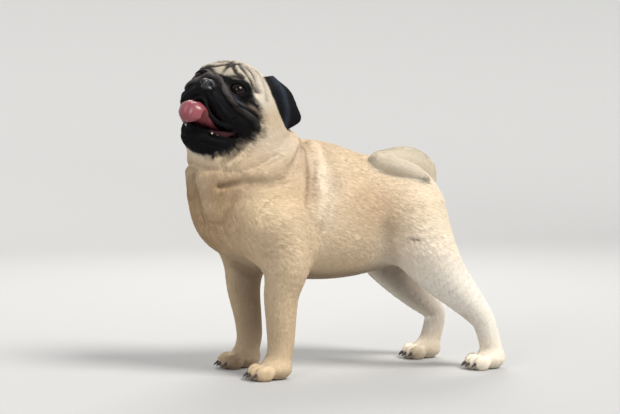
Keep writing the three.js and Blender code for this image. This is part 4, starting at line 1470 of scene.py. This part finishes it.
def tongue_slice(t, angle):
    """How far one point of the slice lies across and above the middle line."""
    taper = math.sqrt(max(0.0, 1 - max(0.0, (t - 0.8) / 0.205) ** 2))
    wide = TONGUE_WIDE * taper * math.cos(angle)
    thick = TONGUE_THICK * (0.35 + 0.65 * taper) * math.sin(angle)
    droop = 7 * t * (wide / 17) ** 2
    ripple = 0.12 * math.sin(wide * 1.3 + 3 * t) * (math.sin(angle) > 0)
    groove = 1.6 * math.exp(-((wide / 2.2) ** 2)) * (math.sin(angle) > 0)
    return wide, thick - droop - groove + ripple


def tongue():
    rings, sides = TONGUE_RINGS, TONGUE_SIDES
    centres = spline(TONGUE_PATH, rings)
    tangents = unit(np.gradient(centres, axis=0))
    points = []
    for k, (centre, along) in enumerate(zip(centres, tangents)):
        up = -np.cross((1, 0, 0), along)
        for j in range(sides):
            wide, high = tongue_slice(k / (rings - 1), 2 * math.pi * j / sides)
            points.append(centre + up * high + np.array([wide, 0, 0]))
    points.append(centres[0])
    points.append(centres[-1] + tangents[-1] * 0.3)
    faces = []
    last = (rings - 1) * sides
    turns = [(j, (j + 1) % sides) for j in range(sides)]
    for start in range(0, last, sides):
        faces += [(start + j, start + n, start + sides + n, start + sides + j) for j, n in turns]
    for j, n in turns:
        faces += [(rings * sides, n, j), (rings * sides + 1, last + j, last + n)]
    mesh = bpy.data.meshes.new("tongue_wet")
    mesh.from_pydata(metres(from_head(points)).tolist(), [], faces)
    piece = bpy.data.objects.new("tongue_wet", mesh)
    scene.collection.objects.link(piece)
    faced_outwards(piece)
    bpy.ops.object.shade_smooth()
    length = np.repeat(np.linspace(0, 1, rings), sides)
    paint(piece, "tongue_length", np.append(length, [0, 1]), "FLOAT", "value")
    around = np.tile(np.cos(2 * math.pi * np.arange(sides) / sides), rings)
    paint(piece, "tongue_across", np.append(around, [0, 0]), "FLOAT", "value")
    return piece


def tongue_material():
    material, tree, shader = new_material(
        "Wet tongue",
        Roughness=0.34,
        Specular_IOR_Level=0.5,
        Coat_Weight=0.35,
        Coat_Roughness=0.2,
        Subsurface_Weight=0.12,
        Subsurface_Radius=(0.006, 0.002, 0.001),
        Subsurface_Scale=1.0,
    )
    length = attribute(tree, "tongue_length")
    across = maths(tree, "MULTIPLY", attribute(tree, "tongue_across"), 9)
    flat = node(tree, "CombineXYZ", {"X": across, "Y": length}).outputs[0]
    streaks = node(tree, "TexNoise", {"Scale": 1.6, "Detail": 4, "Vector": flat})
    tone = mixed(tree, streaks.outputs["Fac"], rgba("70272f"), rgba("9f575d"))
    # Painted shade: darker towards the tip, which curls down
    ends = node(
        tree,
        "MapRange",
        {"From Min": 0.78, "From Max": 1.0, "To Max": 0.75, "Value": length},
        interpolation_type="SMOOTHSTEP",
    )
    feed(tree, shader, {"Base Color": mixed(tree, ends.outputs["Result"], tone, rgba("74222c"))})
    pimples = node(tree, "TexVoronoi", {"Scale": 1300, "Vector": object_place(tree)})
    bumped(tree, pimples.outputs["Distance"], shader, 0.3, 0.0003)
    return material


finished(tongue(), tongue_material(), "tongue", "tongue")

HORN_RINGS = 7


def horn(radius, height, bend=0.0, sides=12):
    """A tapering, slightly curved cone along +Z from its root, as a made primitive."""
    cylinder = bpy.ops.mesh.primitive_cylinder_add
    piece, _ = primitive(cylinder, "horn", vertices=sides, radius=1, depth=1, end_fill_type="TRIFAN")
    bpy.ops.object.mode_set(mode="EDIT")
    for level in (0, *np.linspace(-0.5, 0.5, HORN_RINGS + 1)[1:-1]):
        bpy.ops.mesh.select_all(action="SELECT")
        bpy.ops.mesh.bisect(plane_co=(0, 0, level), plane_no=(0, 0, 1))
    bpy.ops.object.mode_set(mode="OBJECT")
    bpy.ops.object.shade_smooth()
    local = coordinates(piece)
    t = local[:, 2] + 0.5
    size = radius * np.sqrt(np.maximum(1 - t**1.6, 0.01))
    return piece, np.stack([local[:, 0] * size, local[:, 1] * size + bend * t**2, t * height], -1)


def joined(name, pieces):
    alone(pieces[0])
    for piece in pieces:
        piece.select_set(True)
    bpy.ops.object.join()
    return active_piece(name)


CLAW_RADIUS, CLAW_LENGTH = 2.4, 9.5
# A claw's lowest point over the floor
CLAW_LOW = 0.4


def claws():
    pieces = []
    for leg in LEGS.values():
        for i in range(4):
            x, y, z = toe_at(leg["paw"], i)
            piece, local = horn(CLAW_RADIUS, CLAW_LENGTH)
            tip = local[:, 2]
            drop = 0.03 * tip**2 + 0.3 * tip
            points = np.stack([local[:, 0], -tip + 1.5, local[:, 1] - drop], -1)
            placed = points + np.array([x, y - leg["paw"][3] * 0.27 + 2.4, z + 0.5])
            placed[:, 2] = np.maximum(placed[:, 2], CLAW_LOW)
            place(piece, np.clip(placed, BOX_LOW, BOX_HIGH))
            pieces.append(piece)
    return joined("claws", pieces)


# The lower teeth on the left in the head's frame: (x, y, z, height), and how many incisors
TEETH = [(20, -51.5, -55.4, 3.6), (24.5, -45.5, -54, 3.6), (28.5, -39, -53, 3.4), (32, -33, -52, 3.4)]
TOOTH_RADIUS = 1.3
TOOTH_ROOT = 1.5
INCISORS = 3


def teeth():
    pieces = []
    for side in (1, -1):
        places = [(x, y, z - TOOTH_ROOT, height + TOOTH_ROOT) for x, y, z, height in TEETH]
        places += [(1.8 + 3.6 * k, -55.5 + 0.7 * k, -55.5, 3.2) for k in range(INCISORS)]
        for x, y, z, height in places:
            piece, local = horn(TOOTH_RADIUS, height)
            place(piece, from_head(local + np.array([side * x, y, z])))
            pieces.append(piece)
    return joined("teeth", pieces)


# Roots of the whiskers on the left, in the head's frame, with their lengths
WHISKERS = [
    (17, -71, -19, 17), (22, -68, -20, 20), (27, -64, -22, 22), (32, -59, -25, 22), (36, -53, -29, 20),
    (19, -70, -26, 15), (24, -66, -28, 18), (29, -60, -31, 19), (34, -53, -35, 17), (22, -66, -34, 12),
    (50, -34, -24, 14), (52, -31, -27, 12), (12, -55, -66, 10), (20, -52, -69, 10), (36, -44, 19, 12),
]


def skin_below(root):
    """A point drawn onto the skin, and the way out of it."""
    step = 0.3
    for _ in range(4):
        here = flesh(root)[0]
        out = unit(np.array([flesh(root + s)[0] - here for s in step * np.eye(3)]) / step)
        root = root - out * here
    return root, out


WHISKER_WAY = np.array([0.1, 0.8, -0.45])


def whiskers():
    pieces = []
    for side in (1, -1):
        for x, y, z, length in WHISKERS:
            root, out = skin_below(from_head([(side * x, y, z)]))
            way = unit(0.45 * out + (WHISKER_WAY * (side, 1, 1)) @ HEAD_TURN.T)
            across = unit(np.cross(way, (0, 0, 1)))
            piece, local = horn(0.22, 0.55 * length, -0.05 * length, sides=6)
            local[:, 2] -= 0.6
            placed = root + local @ np.array([across, np.cross(way, across), way])
            place(piece, np.clip(placed, BOX_LOW, BOX_HIGH))
            pieces.append(piece)
    return joined("whiskers", pieces)


def hard_material(name, light, dark, scale, roughness, gloss=0.5):
    material, tree, shader = new_material(
        name, Roughness=roughness, Specular_IOR_Level=gloss, Coat_Weight=0.4 * gloss
    )
    drawn = node(tree, "Mapping", {"Scale": (1, 0.3, 1), "Vector": object_place(tree)}).outputs["Vector"]
    noise = node(tree, "TexNoise", {"Scale": scale, "Detail": 4, "Vector": drawn}).outputs["Fac"]
    feed(tree, shader, {"Base Color": mixed(tree, noise, rgba(dark), rgba(light))})
    bumped(tree, noise, shader, 0.2, 0.0003)
    return material


finished(whiskers(), hard_material("Whisker", "2a2524", "0c0a0b", 900, 0.5, 0.05), "fur")
finished(claws(), hard_material("Dark claw horn", "4c423c", "1c1817", 900, 0.4), "nose")
finished(teeth(), hard_material("Tooth ivory", "efe6d2", "cdbb98", 700, 0.3), "eye")

# Studio: a pale floor that curves up into a wall, in metres
FLOOR_FRONT = 6
FLOOR_HALF = 9
BEND_AT = -2.4
BEND_RADIUS = 1.6
bpy.ops.mesh.primitive_grid_add(x_subdivisions=90, y_subdivisions=2, size=2)
floor = active_piece("floor")
bpy.ops.object.shade_smooth()
sweep = coordinates(floor)
run = FLOOR_FRONT - FLOOR_HALF * (sweep[:, 0] + 1)
bend = np.clip((BEND_AT - run) / BEND_RADIUS, 0, math.pi / 2)
wall = np.maximum(BEND_AT - BEND_RADIUS * math.pi / 2 - run, 0)
sweep = np.stack(
    [
        np.maximum(run, BEND_AT) - BEND_RADIUS * np.sin(bend),
        sweep[:, 1] * FLOOR_HALF,
        BEND_RADIUS * (1 - np.cos(bend)) + wall,
    ],
    -1,
)
floor.data.vertices.foreach_set("co", sweep.astype(np.float32).ravel())
floor.data.update()
floor_material, _, _ = new_material("Pale floor", Roughness=0.85, Base_Color=(0.5, 0.495, 0.485, 1))
floor.data.materials.append(floor_material)

world = bpy.data.worlds.new("studio")
scene.world = world
world.use_nodes = True
background = {"Color": (0.86, 0.9, 0.96, 1), "Strength": 0.5}
feed(world.node_tree, world.node_tree.nodes["Background"], background)


def light(name, kind, power, colour, way, at=(0, 0, 0)):
    """A light that shines the given way."""
    data = bpy.data.lights.new(name, kind)
    data.energy = power
    data.color = colour
    lamp = bpy.data.objects.new(name, data)
    scene.collection.objects.link(lamp)
    lamp.location = at
    lamp.rotation_mode = "QUATERNION"
    lamp.rotation_quaternion = Vector(way).to_track_quat("-Z", "Y")
    return data


key = light("key light", "SUN", 3.05, (1, 0.985, 0.96), (-1.35, -0.75, -1.75))
key.angle = 0.42
AIM = Vector((0, -0.03, 0.22))
for name, at, size, power, colour in (
    ("fill light", (1.5, -1.9, 1.9), 1.6, 11, (0.95, 0.97, 1)),
    ("eye light", (1.25, -1.25, 1.05), 0.14, 3.6, (1, 1, 1)),
    ("rim light", (-1.5, 0.5, 1.8), 1.2, 22, (1, 0.98, 0.94)),
):
    lamp = light(name, "AREA", power, colour, AIM - Vector(at), at)
    lamp.shape = "DISK"
    lamp.size = size
scene.view_settings.view_transform = "Standard"
